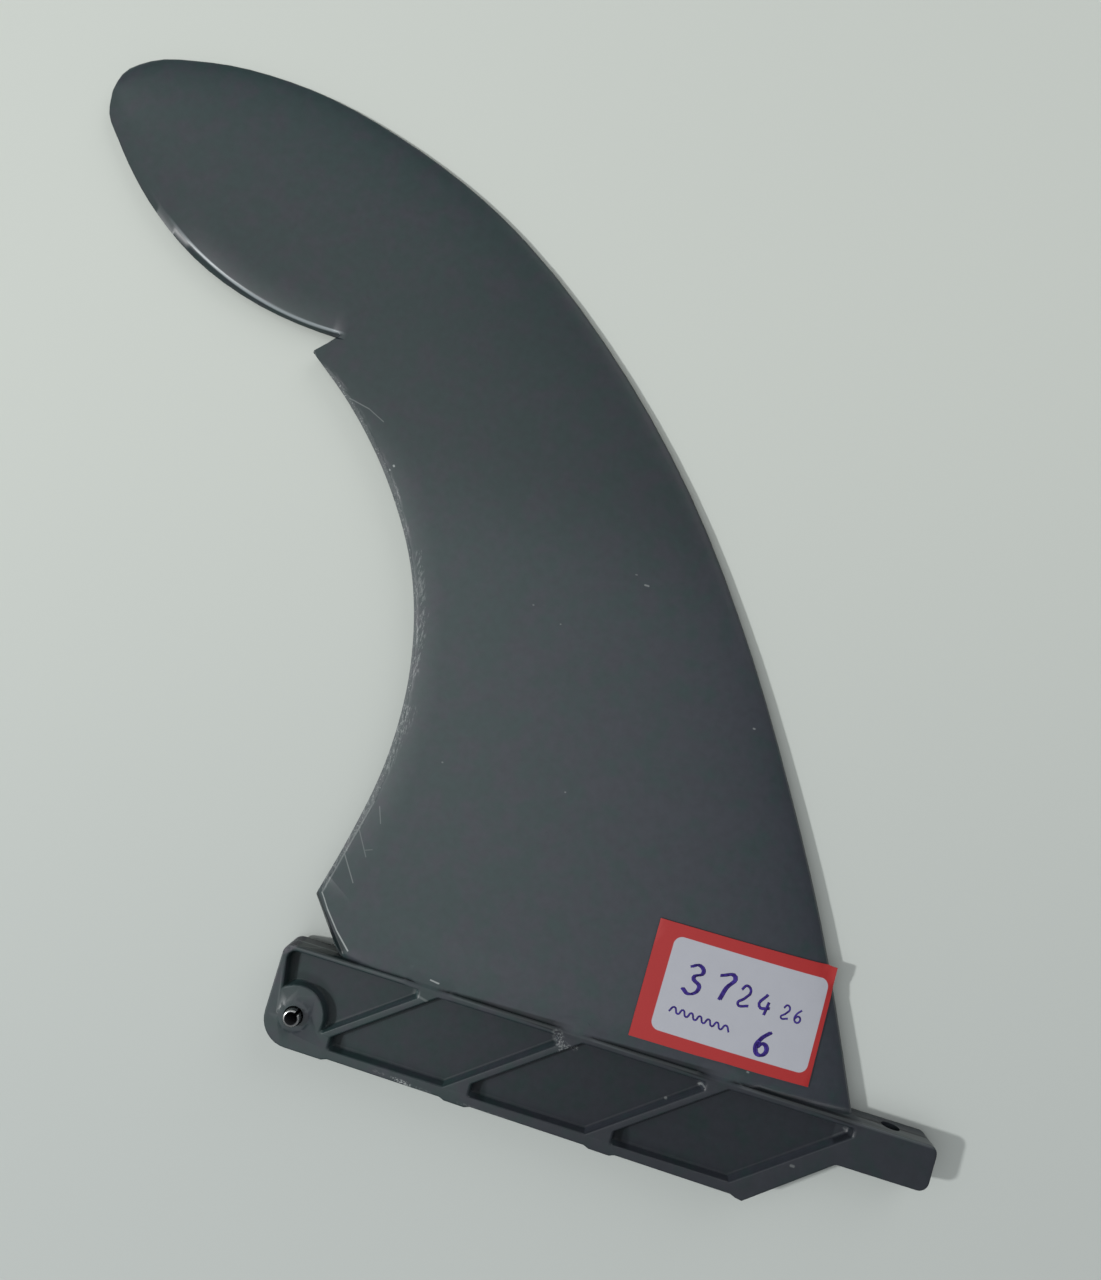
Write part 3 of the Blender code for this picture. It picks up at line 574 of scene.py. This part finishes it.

# %% [markdown]
# Between two ribs the base slopes up to the blade, the more the further the blade's surface
# falls back, and that slope lies in shade. The shade is painted as a wedge along the board line,
# which widens from one rib's upper end to the next. The remainder after dividing by the pitch
# repeats it.

# %% Moulded plastic: slopes between the ribs
RIB_PITCH = 35.5           # from one rib's upper end to the next
WEDGE_START = 30.0
WEDGE_LOW = -1.1           # the lower side at the wide end, from the board line
WEDGE_HIGH = 1.0           # how far the upper side rises along the wedge
WEDGE_LEAST = 0.2          # the upper side at the thin end
WEDGE_LOW_SIDE = (-0.25, 0.15)
WEDGE_HIGH_SIDE = (0.35, -0.15)
WEDGE_THIN_END = (0.02, 0.30)
WEDGE_WIDE_END = (0.98, 0.80)
FIRST_WEDGE = (29.0, 32.0)
LAST_WEDGE = (134.0, 131.0)
WEDGE_FACES = (2.2, 2.8)
WEDGE_SHADE = 0.65

along = calc(tree, "FRACT", calc(tree, "DIVIDE", calc(tree, "SUBTRACT", x, WEDGE_START), RIB_PITCH))
over_low = calc(tree, "SUBTRACT", y, product(tree, along, WEDGE_LOW))
over_high = calc(tree, "SUBTRACT", y, calc(tree, "MULTIPLY_ADD", along, WEDGE_HIGH, WEDGE_LEAST))
slope = product(
    tree, step(tree, over_low, *WEDGE_LOW_SIDE), step(tree, over_high, *WEDGE_HIGH_SIDE),
    step(tree, along, *WEDGE_THIN_END), step(tree, along, *WEDGE_WIDE_END),
    step(tree, x, *FIRST_WEDGE), step(tree, x, *LAST_WEDGE), step(tree, height, *WEDGE_FACES))
shades = strongest(tree, shades, product(tree, slope, WEDGE_SHADE))
print("slopes", len(tree.nodes), "nodes")

# %% [markdown]
# The base's top face shows where the blade doesn't cover it. On the tab it has a painted dark
# groove with a painted light strip beside it, and at the rear a painted highlight on the ridge
# between strips of painted shade. The rounded edge along the ribs' side has a painted highlight,
# apart from where a rib runs out flush on the blade.

# %% Moulded plastic: the base's top
TOP_STARTS = (-0.55, -0.25)
TOP_ENDS = (0.5, 0.2)
TAB_STARTS = (133.0, 134.5)
REAR_ENDS = (12.0, 10.0)
RIDGE_SIDES = (0.55, 0.25)
GROOVE_MIDDLE = 0.2
GROOVE_SIDES = (0.60, 0.30)
GROOVE_SHADE = 0.7
REAR_SHADE = 0.5
STRIP_STARTS = (0.5, 0.9)
STRIP_LIGHT = 0.30
RIDGE_LIGHT = 0.35
RIM_OUTWARD = (3.9, 4.3)
RIM_STARTS = (-0.8, -0.45)
RIM_LIGHT = 0.18

top_face = product(tree, step(tree, y, *TOP_STARTS), step(tree, y, *TOP_ENDS))
tab_top = product(tree, top_face, step(tree, x, *TAB_STARTS))
rear_top = product(tree, top_face, step(tree, x, *REAR_ENDS))
ridge = step(tree, height, *RIDGE_SIDES)
groove = step(tree, calc(tree, "ABSOLUTE", calc(tree, "SUBTRACT", z, GROOVE_MIDDLE)), *GROOVE_SIDES)
tab_groove = product(tree, tab_top, groove, GROOVE_SHADE)
rear_dark = product(tree, rear_top, lessened(tree, ridge), REAR_SHADE)
shades = strongest(tree, shades, tab_groove, rear_dark)

flush = strongest_mark(tree, place, FLUSH)
tab_light = product(tree, tab_top, step(tree, z, *STRIP_STARTS), STRIP_LIGHT)
rear_light = product(tree, rear_top, ridge, RIDGE_LIGHT)
rim = product(tree, step(tree, z, *RIM_OUTWARD), step(tree, y, *RIM_STARTS), step(tree, y, *TOP_ENDS))
rim = product(tree, rim, RIM_LIGHT, lessened(tree, flush))
top_light = strongest(tree, tab_light, rear_light, rim)
print("the base's top", len(tree.nodes), "nodes")

# %% [markdown]
# The masks come together here. Each one lightens or darkens the plastic by a share: the walls
# get painted light; the floors, the base's side away from the window and the shaded places get
# painted shade; the base as a whole and the middle of the blade's upper half are darker. A slow
# noise mottles it all a little.

# %% Moulded plastic: light and dark
BASE_STARTS = (0.2, -1.0)
AWAY = (15.0, 85.0)
UPPER_STARTS = (95.0, 130.0)
UPPER_ENDS = (205.0, 155.0)
MOTTLES = (0.5, 4.0, 0.6)
MOTTLE_DEPTH = 0.5
MOTTLE_LEAST = 0.75

below = step(tree, y, *BASE_STARTS)
away_side = product(tree, step(tree, x, *AWAY), below)
upper = product(tree, step(tree, y, *UPPER_STARTS), step(tree, y, *UPPER_ENDS))
lit = calc(tree, "ADD", product(tree, noise(tree, place, *MOTTLES), MOTTLE_DEPTH), MOTTLE_LEAST)
# Painted light on the walls; painted shade on the floors, the side away from the window and the shaded
# places
for mask, darkened in (
        (wall, -0.8), (floor, 0.16), (below, 0.12), (shades, 0.9), (away_side, 0.22), (upper, 0.20)):
    lit = product(tree, lit, lessened(tree, mask, darkened))
colour = scaled(tree, colour, lit)
print("plastic colour", len(tree.nodes), "nodes")

# %% [markdown]
# The curved gap in the rear edge was sawn. A frosted band follows it, with bright flecks and
# the marks of the saw. The gap is an arc, so the distance from the arc's middle finds the band,
# and a noise makes its inner side ragged.

# %% Moulded plastic: sawn edge
# Frosted sawn plastic; the same tint is the painted light on the base's top faces
FROST_AND_HIGHLIGHT_COLOUR = (0.15, 0.165, 0.165)
CUT_MIDDLE = (-96.14, 53.12, 0)
CUT_RADIUS = 99.63
CUT_STARTS = (12.5, 15.5)          # heights between which the edge was sawn
CUT_ENDS = (137.0, 134.0)
RAGGED = (0.7, 3.0, 0.6)
RAGGED_DEPTH = 1.1
SAWN_ENDS = (0.55, 0.1)
FLECKS = (2.6, 2.0, 0.6)
FLECK_LIMITS = (0.60, 0.70)

past_cut = vector_calc(tree, "DISTANCE", flat_place, CUT_MIDDLE, result="Value")
past_cut = calc(tree, "SUBTRACT", past_cut, CUT_RADIUS)
ragged = calc(tree, "SUBTRACT", past_cut, product(tree, noise(tree, place, *RAGGED), RAGGED_DEPTH))
span = product(tree, step(tree, y, *CUT_STARTS), step(tree, y, *CUT_ENDS))
sawn = product(tree, step(tree, ragged, *SAWN_ENDS), span)
flecks = product(tree, step(tree, noise(tree, place, *FLECKS), *FLECK_LIMITS), sawn)
print("sawn edge", len(tree.nodes), "nodes")

# %% [markdown]
# Beyond the notch the rear edge is as it was moulded, and its crease has a painted highlight.
# The edge is an arc too. The painted highlight runs a millimetre inside it at the notch, and two
# further out.

# %% Moulded plastic: painted highlight beyond the notch
CREASE_HIGHLIGHT_COLOUR = (0.44, 0.49, 0.51)
LOBE_MIDDLE = (-41.96, 224.71, 0)
LOBE_RADIUS = 81.05
LOBE_STARTS = (-91.0, -76.0)
LOBE_ENDS = (-37.0, -41.0)
LOBE_INSIDE = (-0.6, -0.2)
LINE_LEAN = -0.019                 # the line's depth: change a millimetre along x, and at x = 0
LINE_DEPTH = 0.38
LINE_SIDES = (0.50, 0.10)
LINE_LIGHT = 0.6

from_lobe = vector_calc(tree, "DISTANCE", flat_place, LOBE_MIDDLE, result="Value")
lobe_depth = calc(tree, "SUBTRACT", LOBE_RADIUS, from_lobe)
on_lobe = product(
    tree, step(tree, x, *LOBE_STARTS), step(tree, x, *LOBE_ENDS), step(tree, lobe_depth, *LOBE_INSIDE))
line_depth = calc(tree, "MULTIPLY_ADD", x, LINE_LEAN, LINE_DEPTH)
off_line = calc(tree, "ABSOLUTE", calc(tree, "SUBTRACT", lobe_depth, line_depth))
lobe_highlight = product(tree, step(tree, off_line, *LINE_SIDES), on_lobe, near_side, LINE_LIGHT)
print("crease", len(tree.nodes), "nodes")

# %% [markdown]
# The rough patch on the rear corner is where the moulding's gate was broken off, and a faint
# line along the middle of the base is the mould's parting line. The streaks beside the sawn
# edge are a noise drawn out along it, and the scuffs are a noise inside wide strokes.

# %% Moulded plastic: gate, parting line, wear and painted highlights
WEAR_AND_HIGHLIGHT_COLOUR = (0.42, 0.45, 0.44)
GATE_COLOUR = (0.10, 0.095, 0.11)
GATE_START = (-5.0, 0.4, 0)
GATE_END = (-6.8, -1.6, 0)
GATE_HALF = 1.7
GATE_NOISE = (1.3, 3.0, 0.7)
GATE_LIMITS = (0.36, 0.52)
PARTING_SIDES = (0.45, 0.25)
PARTING_STARTS = (-1.0, -1.4)
DRAWN_OUT = (1.0, 0.22, 1.0)
STREAK_NOISE = (2.4, 3.0, 0.7)
STREAK_LIMITS = (0.50, 0.62)
SCUFF_NOISE = (2.2, 3.0, 0.7)
SCUFF_LIMITS = (0.47, 0.60)

gate = use_group(tree, stroke_group, Place=place, Start=GATE_START, End=GATE_END, Width=GATE_HALF)
gate = product(tree, gate, step(tree, noise(tree, place, *GATE_NOISE), *GATE_LIMITS))
parting = product(tree, step(tree, height, *PARTING_SIDES), step(tree, y, *PARTING_STARTS))
drawn_out = vector_calc(tree, "MULTIPLY", place, DRAWN_OUT)
streaks = step(tree, noise(tree, drawn_out, *STREAK_NOISE), *STREAK_LIMITS)
streaks = product(tree, streaks, strongest_mark(tree, place, STREAKS), near_side)
scuffs = step(tree, noise(tree, place, *SCUFF_NOISE), *SCUFF_LIMITS)
scuffs = product(tree, strongest_mark(tree, place, SCUFFS), near_side, scuffs)
marks = product(tree, strongest_mark(tree, place, MARKS), near_side)
# The crease marks are a painted highlight
crease = product(tree, strongest_mark(tree, place, CREASE), near_side)
wear_and_highlights = strongest(tree, marks, scuffs, crease)

# Blended in with the wear: the painted highlights on the crease, on the base's top and beyond the notch,
# and the painted glints on the worn marks
for mask, amount, tint in (
        (sawn, 0.30, FROST_AND_HIGHLIGHT_COLOUR), (flecks, 0.55, WEAR_AND_HIGHLIGHT_COLOUR), (gate, 0.75, GATE_COLOUR),
        (parting, 0.22, FROST_AND_HIGHLIGHT_COLOUR), (streaks, 0.6, WEAR_AND_HIGHLIGHT_COLOUR), (top_light, 1.0, FROST_AND_HIGHLIGHT_COLOUR),
        (lobe_highlight, 1.0, CREASE_HIGHLIGHT_COLOUR), (wear_and_highlights, 1.0, WEAR_AND_HIGHLIGHT_COLOUR)):
    colour = blend(tree, product(tree, mask, amount), colour, tint)
feed(tree, shader.inputs["Base Color"], colour)
print("plastic marks", len(tree.nodes), "nodes")

# %% [markdown]
# The gloss is uneven too. The plastic is rougher in the pockets, on the sawn edge and on the worn
# marks and painted highlights. It mirrors less in the places of painted shade, on the pockets'
# floors and on the top faces.

# %% Moulded plastic: gloss
ROUGH_LEAST = 0.33
ROUGH_NOISE = (0.35, 3.0, 0.6)
ROUGH_CHANGE = 0.10
FULL_GLOSS = 0.5

rough_spots = product(tree, noise(tree, place, *ROUGH_NOISE), ROUGH_CHANGE)
roughness = calc(tree, "ADD", ROUGH_LEAST, rough_spots)
for mask, rougher in ((wall, 0.20), (floor, 0.10), (sawn, 0.16), (gate, 0.30), (wear_and_highlights, 0.15), (below, 0.03)):
    roughness = calc(tree, "ADD", roughness, product(tree, mask, rougher))
feed(tree, shader.inputs["Roughness"], roughness)

gloss = FULL_GLOSS
for mask, duller in ((floor, 0.15), (shades, 0.25), (upper, 0.08), (top_face, 0.15), (away_side, 0.12)):
    gloss = calc(tree, "SUBTRACT", gloss, product(tree, mask, duller))
feed(tree, shader.inputs["Specular IOR Level"], gloss)
print("plastic gloss", len(tree.nodes), "nodes")

# %% [markdown]
# The blade turns down softly towards its two rear edges, and the sawn edge has a small uneven
# bevel. Both change the shading far more than the shape, so a bump is enough. A second, finer
# bump is the grain, the saw's marks and the broken gate.

# %% Moulded plastic: relief
LOBE_TURN = (9.0, 0.75)            # how wide the turn is and how deep it falls, in millimetres
CUT_TURN = (8.0, 0.40)
CUT_TURN_STARTS = (9.0, 40.0)
CUT_TURN_ENDS = (142.0, 112.0)
BEVEL = (1.2, 0.14)
BEVEL_NOISE = (0.12, 2.0, 0.5)
BEVEL_LIMITS = (0.30, 0.70)
BEVEL_RISE = (50.0, 90.0)          # the bevel is stronger above these heights
BEVEL_MORE = 0.7
BEVEL_LEAST = 0.3
GRAIN_COARSE = 1.4
SAW_DRAWN_OUT = (1.0, 1.0, 0.2)
SAW_NOISE = (3.0, 3.0, 0.6)
GRAIN_DEPTH = 0.10
SAW_DEPTH = 2.0
GATE_DEPTH = 1.6
FINE_RELIEF = 0.06 * MM
FINE_STRENGTH = 0.6

curve = product(tree, fall(tree, lobe_depth, *LOBE_TURN), on_lobe)
cut_turn = product(tree, step(tree, y, *CUT_TURN_STARTS), step(tree, y, *CUT_TURN_ENDS))
curve = calc(tree, "ADD", curve, product(tree, fall(tree, past_cut, *CUT_TURN), cut_turn))
uneven = step(tree, noise(tree, place, *BEVEL_NOISE), *BEVEL_LIMITS)
stronger = calc(tree, "MULTIPLY_ADD", step(tree, y, *BEVEL_RISE), BEVEL_MORE, BEVEL_LEAST)
bevel = product(tree, fall(tree, ragged, *BEVEL), span, uneven, stronger)
curved = bumped(tree, calc(tree, "ADD", curve, bevel), MM, 1.0)

grain = use_group(tree, grain_group, Place=place, Coarse=GRAIN_COARSE)
saw_marks = noise(tree, vector_calc(tree, "MULTIPLY", place, SAW_DRAWN_OUT), *SAW_NOISE)
relief = product(tree, grain, GRAIN_DEPTH)
relief = calc(tree, "ADD", relief, product(tree, saw_marks, sawn, SAW_DEPTH))
relief = calc(tree, "ADD", relief, product(tree, grain, gate, GATE_DEPTH))
rough_normal = bumped(tree, relief, FINE_RELIEF, FINE_STRENGTH, curved)
print("plastic relief", len(tree.nodes), "nodes")

# %% [markdown]
# Where a rib runs out on the blade the surface is flush, and the left edge of the tip is flat.
# There the shading takes the direction that is square to the fin's plane. A node turns that
# direction from the object's axes to the world's, as a shader wants it.

# %% Moulded plastic: flush places
level = tree.nodes.new("ShaderNodeVectorTransform")
level.vector_type = "NORMAL"
level.convert_from = "OBJECT"
level.convert_to = "WORLD"
level.inputs[0].default_value = PLANE.to_3x3() @ Vector((0, 0, 1))
side = scaled(tree, level.outputs[0], product(tree, calc(tree, "SIGN", z), flush))
rough_side = scaled(tree, rough_normal, lessened(tree, flush))
normal = vector_calc(tree, "NORMALIZE", vector_calc(tree, "ADD", side, rough_side))
feed(tree, shader.inputs["Normal"], normal)
print("moulded plastic", len(tree.nodes), "nodes")

# %% [markdown]
# The pin is rolled from spring steel strip. Its ends are bright where they were cut, and it is
# dark inside, where salt water has stained it.

# %% Spring steel
PIN_INNER_RADIUS = 1.5
STAIN_ENDS = (PIN_INNER_RADIUS + 0.24, PIN_INNER_RADIUS + 0.12)
PATCHES = (1.5, 3.0, 0.6)
PATCH_LIMITS = (0.45, 0.70)
STEEL_ROUGH = 0.24
PATCH_ROUGH = 0.16
STAIN_ROUGH = 0.4
STAIN_DULL = 0.8
BRIGHT_STEEL = (0.56, 0.57, 0.56)
DULL_STEEL = (0.26, 0.27, 0.27)
STAINED_STEEL = (0.045, 0.048, 0.052)

steel, tree, shader = new_material("spring_steel", 0.3, 1.0)
place = plane_place(tree)
flat_place = vector_calc(tree, "MULTIPLY", place, (1, 1, 0))
from_axis = vector_calc(tree, "DISTANCE", flat_place, (0, -PIN_DROP, 0), result="Value")
stained = step(tree, from_axis, *STAIN_ENDS)
patches = step(tree, noise(tree, place, *PATCHES), *PATCH_LIMITS)
colour = blend(tree, stained, blend(tree, patches, BRIGHT_STEEL, DULL_STEEL), STAINED_STEEL)
feed(tree, shader.inputs["Base Color"], colour)
roughness = calc(tree, "ADD", STEEL_ROUGH, product(tree, patches, PATCH_ROUGH))
roughness = calc(tree, "ADD", roughness, product(tree, stained, STAIN_ROUGH))
feed(tree, shader.inputs["Roughness"], roughness)
feed(tree, shader.inputs["Metallic"], lessened(tree, stained, STAIN_DULL))
print("spring steel", len(tree.nodes), "nodes")

# %% [markdown]
# The sticker is red paper with a white field for the price. The field has round corners and
# stands nearer the right-hand edge. Paper is matt, a little fibrous, and slightly dirty.

# %% Sticker paper
FIELD_MIDDLE = (99.9, 17.55, 0)
FIELD_HALF = (18.95, 11.15, 1)
FIELD_CORNER = 2.1
FIELD_SOFT = 0.16
RED = (0.350, 0.016, 0.016)
WHITE = (0.385, 0.395, 0.435)
FIBRES = (3.2, 4.0, 0.7)
SMUDGES = (0.22, 3.0, 0.5)
LIGHTEST = 1.06
FIBRE_SHADE = 0.06
SMUDGE_SHADE = 0.07
PAPER_COARSE = 0.5
PAPER_RELIEF = 0.02 * MM
PAPER_STRENGTH = 0.5

paper, tree, shader = new_material("sticker_paper", 0.55)
place = plane_place(tree)
field = use_group(
    tree, field_group, Place=place, Middle=FIELD_MIDDLE, Half=FIELD_HALF, Radius=FIELD_CORNER,
    Soft=FIELD_SOFT)
flat_place = vector_calc(tree, "MULTIPLY", place, (1, 1, 0))
fibres = product(tree, noise(tree, flat_place, *FIBRES), FIBRE_SHADE)
smudges = product(tree, noise(tree, place, *SMUDGES), SMUDGE_SHADE)
dirt = calc(tree, "SUBTRACT", calc(tree, "SUBTRACT", LIGHTEST, fibres), smudges)
feed(tree, shader.inputs["Base Color"], scaled(tree, blend(tree, field, RED, WHITE), dirt))
relief = use_group(tree, grain_group, Place=place, Coarse=PAPER_COARSE)
feed(tree, shader.inputs["Normal"], bumped(tree, relief, PAPER_RELIEF, PAPER_STRENGTH))
print("sticker paper", len(tree.nodes), "nodes")

# %% [markdown]
# Pen ink is blue violet and soaks in unevenly, darker where the pen paused.

# %% Ink
THIN_INK = (0.050, 0.030, 0.230)
THICK_INK = (0.028, 0.014, 0.130)
INK_NOISE = (0.9, 3.0, 0.6)
INK_LIMITS = (0.35, 0.65)

ink, tree, shader = new_material("pen_ink", 0.7)
shader.inputs["Specular IOR Level"].default_value = 0.15
place = plane_place(tree)
pressed = step(tree, noise(tree, place, *INK_NOISE), *INK_LIMITS)
feed(tree, shader.inputs["Base Color"], blend(tree, pressed, THIN_INK, THICK_INK))
print("ink", len(tree.nodes), "nodes")

# %% [markdown]
# The moulding's mesh is loose triangles, so a copy is merged, and its normals are weighted by
# face size: flat faces then stay flat, and the small rounds between them carry the shading.
# Where each rib meets the board line the solid has a plain round pad. On the real fin it runs
# out on the blade within a millimetre or two, so the copy's pads are let down to the blade.

# %% Pads at the ribs' upper ends
HALF_BASE = 4.7            # half the base's thickness, in millimetres
PAD_MIDDLES = (28.4, 64.0, 99.6)
PAD_SPAN = 7.5             # clear of the pad, to either side and upwards
PAD_REACH = 6.5            # what is let down lies within this of the pad's middle
PAD_HALF = 3.7             # half its length where it meets the base
PAD_RISE = 1.5             # how far above the board line it runs out
PAD_FOOT = 0.2             # nothing under this height over the board line is moved
BLADE_LEAST = 2.5          # the blade's faces lie further out than this
PROUD = 0.03               # what stands out from the blade by more than this is let down
SUNK = 0.05                # where the pad starts, under the base's face
RAY_START = 20.0


def lower_pads(piece):
    back = PLANE.inverted()
    faces = [polygon.vertices for polygon in piece.data.polygons]
    surface = BVHTree.FromPolygons([vertex.co for vertex in piece.data.vertices], faces)
    out = PLANE.to_3x3() @ Vector((0, 0, 1))

    def face_height(x, y, side):
        hit = surface.ray_cast(on_plane(x, y, side * RAY_START), out * -side)[0]
        return abs((back @ hit).z) / MM

    for vertex in piece.data.vertices:
        x, y, z = (back @ vertex.co) / MM
        middle = min(PAD_MIDDLES, key=lambda place: abs(place - x))
        if abs(x - middle) > PAD_REACH or not PAD_FOOT < y < PAD_SPAN or abs(z) < BLADE_LEAST:
            continue
        side = 1 if z > 0 else -1
        share = (x - middle + PAD_SPAN) / (2 * PAD_SPAN)
        behind, ahead = (face_height(middle + end * PAD_SPAN, y, side) for end in (-1, 1))
        blade = behind + (ahead - behind) * share
        rise = max(0.0, 1 - y / PAD_RISE) ** 2 * max(0.0, 1 - (abs(x - middle) / PAD_HALF) ** 4)
        if abs(z) > blade + PROUD:
            vertex.co = on_plane(x, y, side * (blade + (HALF_BASE - SUNK - blade) * rise))


print(len(PAD_MIDDLES), "pads on each face")

# %% [markdown]
# The pin and the sticker are made ready in the same way as the moulding.

# %% Moulding, pin and sticker
SMOOTH_DEG = 40            # edges sharper than this stay crisp
MERGE = 0.002 * MM


def merged_copy(node, name, material):
    source = frame["nodes"][node]
    piece = bpy.data.objects.new(name, source.data.copy())
    bpy.context.scene.collection.objects.link(piece)
    bpy.context.view_layer.objects.active = piece
    piece.select_set(True)
    bpy.ops.object.mode_set(mode="EDIT")
    bpy.ops.mesh.select_all(action="SELECT")
    bpy.ops.mesh.remove_doubles(threshold=MERGE)
    bpy.ops.object.mode_set(mode="OBJECT")
    if node == "fin":
        lower_pads(piece)
    bpy.ops.object.shade_smooth_by_angle(angle=math.radians(SMOOTH_DEG))
    weighted = piece.modifiers.new("weighted", "WEIGHTED_NORMAL")
    weighted.keep_sharp = True
    bpy.ops.object.modifier_apply(modifier="weighted")
    piece.select_set(False)
    piece.data.materials.clear()
    piece.data.materials.append(material)
    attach(piece, "root")
    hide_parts(node)
    print(name, len(piece.data.polygons), "faces")
    return piece


merged_copy("fin", "moulding", plastic)
merged_copy("roll_pin", "spring_pin", steel)
sticker = merged_copy("price_label", "sticker", paper)

# %% [markdown]
# The sticker is written on by hand, with plain numbers and a wavy line. Each figure is one or
# two pen strokes: a curve through a few places, thickened like a pen line and made a mesh. Some
# were drawn twice, a little beside the first line.

# %% Pen strokes
PEN_RADIUS = 0.29
RETRACED = (0.42, 0.14)    # how far aside and upwards the second drawing is
NARROW = 0.9               # a figure's own width, as a share of its place's
FIGURES = {
    "2": [[(0.08, 1.20), (0.45, 1.60), (0.88, 1.25), (0.55, 0.65), (0.05, 0.05), (1.0, 0.12)]],
    "3": [[(0.05, 1.42), (0.50, 1.60), (0.85, 1.28), (0.40, 0.90), (0.92, 0.50), (0.50, 0.0),
           (0.0, 0.22)]],
    "4": [[(0.55, 1.60), (0.05, 0.55), (1.0, 0.60)], [(0.80, 1.05), (0.62, 0.0)]],
    "6": [[(0.80, 1.60), (0.22, 1.0), (0.05, 0.40), (0.45, 0.0), (0.88, 0.40), (0.50, 0.78),
           (0.12, 0.45)]],
    "7": [[(0.0, 1.45), (0.95, 1.60), (0.60, 0.80), (0.40, 0.0)]],
}
# figure, its lower left corner on the fin, its width, its lean, the thickness of the line and
# how often it was drawn
WRITING = [
    ("3", (85.4, 16.4), 4.4, 0.10, 1.0, 2), ("7", (93.2, 17.2), 3.8, 0.05, 1.2, 2),
    ("2", (99.0, 17.4), 3.0, 0.0, 1.1, 1), ("4", (104.0, 16.8), 3.0, 0.0, 1.2, 1),
    ("2", (109.6, 17.3), 2.0, 0.05, 0.8, 1), ("6", (112.8, 17.2), 1.9, 0.0, 0.8, 1),
    ("6", (105.4, 7.6), 3.6, 0.05, 1.2, 2)]
WAVE_START = (84.2, 11.9)
WAVE_STEP = (1.05, -0.05)
WAVE_HEIGHTS = (-0.5, 0.8)
WAVE_TURNS = 15
WAVE_THICKNESS = 0.8
WAVE = [
    (WAVE_START[0] + WAVE_STEP[0] * k, WAVE_START[1] + WAVE_STEP[1] * k + WAVE_HEIGHTS[k % 2])
    for k in range(WAVE_TURNS)]


def pen_stroke(points, thick):
    """One stroke through places on the fin's plane, as a thin tube in millimetres."""
    curve = bpy.data.curves.new("stroke", "CURVE")
    curve.dimensions = "3D"
    spline = curve.splines.new("BEZIER")
    spline.bezier_points.add(len(points) - 1)
    for knot, (u, v) in zip(spline.bezier_points, points):
        knot.co = (u, v, 0)
        knot.handle_left_type = knot.handle_right_type = "AUTO"
    spline.resolution_u = 5
    curve.bevel_depth = PEN_RADIUS * thick
    curve.bevel_resolution = 1
    curve.use_fill_caps = True
    line = bpy.data.objects.new("stroke", curve)
    bpy.context.scene.collection.objects.link(line)
    line.select_set(True)
    bpy.context.view_layer.objects.active = line
    bpy.ops.object.convert(target="MESH")
    line = bpy.context.view_layer.objects.active
    line.select_set(False)
    return line


def written(line, left, low, size, lean):
    """A figure's line on the fin, from places given as shares of its width."""
    return [(left + size * (u * NARROW + lean * v), low + size * v) for u, v in line]


strokes = [pen_stroke(WAVE, WAVE_THICKNESS)]
for figure, (left, low), size, lean, thick, times in WRITING:
    for again in range(times):
        aside, upwards = (shift * again for shift in RETRACED)
        for line in FIGURES[figure]:
            points = written(line, left + aside, low + upwards, size, lean)
            strokes.append(pen_stroke(points, thick))
print(len(strokes), "strokes")

# %% [markdown]
# The strokes are joined and pressed flat onto the paper, which follows the blade's curve, so
# that only a film of ink stands above it.

# %% Ink on the paper
INK_FILM = 0.03            # millimetres above the paper


def press_onto_paper(piece):
    faces = [polygon.vertices for polygon in sticker.data.polygons]
    surface = BVHTree.FromPolygons([vertex.co for vertex in sticker.data.vertices], faces)
    down = PLANE.to_3x3() @ Vector((0, 0, -1))
    for vertex in piece.data.vertices:
        u, v, w = vertex.co
        place = surface.ray_cast(on_plane(u, v, RAY_START), down)[0]
        vertex.co = place - down * (INK_FILM * MM if w > 0 else 0.0)


for stroke in strokes:
    stroke.select_set(True)
bpy.context.view_layer.objects.active = strokes[0]
bpy.ops.object.join()
pen_marks = bpy.context.view_layer.objects.active
pen_marks.name = "pen_marks"
press_onto_paper(pen_marks)
pen_marks.data.materials.clear()
pen_marks.data.materials.append(ink)
pen_marks.select_set(False)
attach(pen_marks, "root")
print("pen marks", len(pen_marks.data.polygons), "faces")
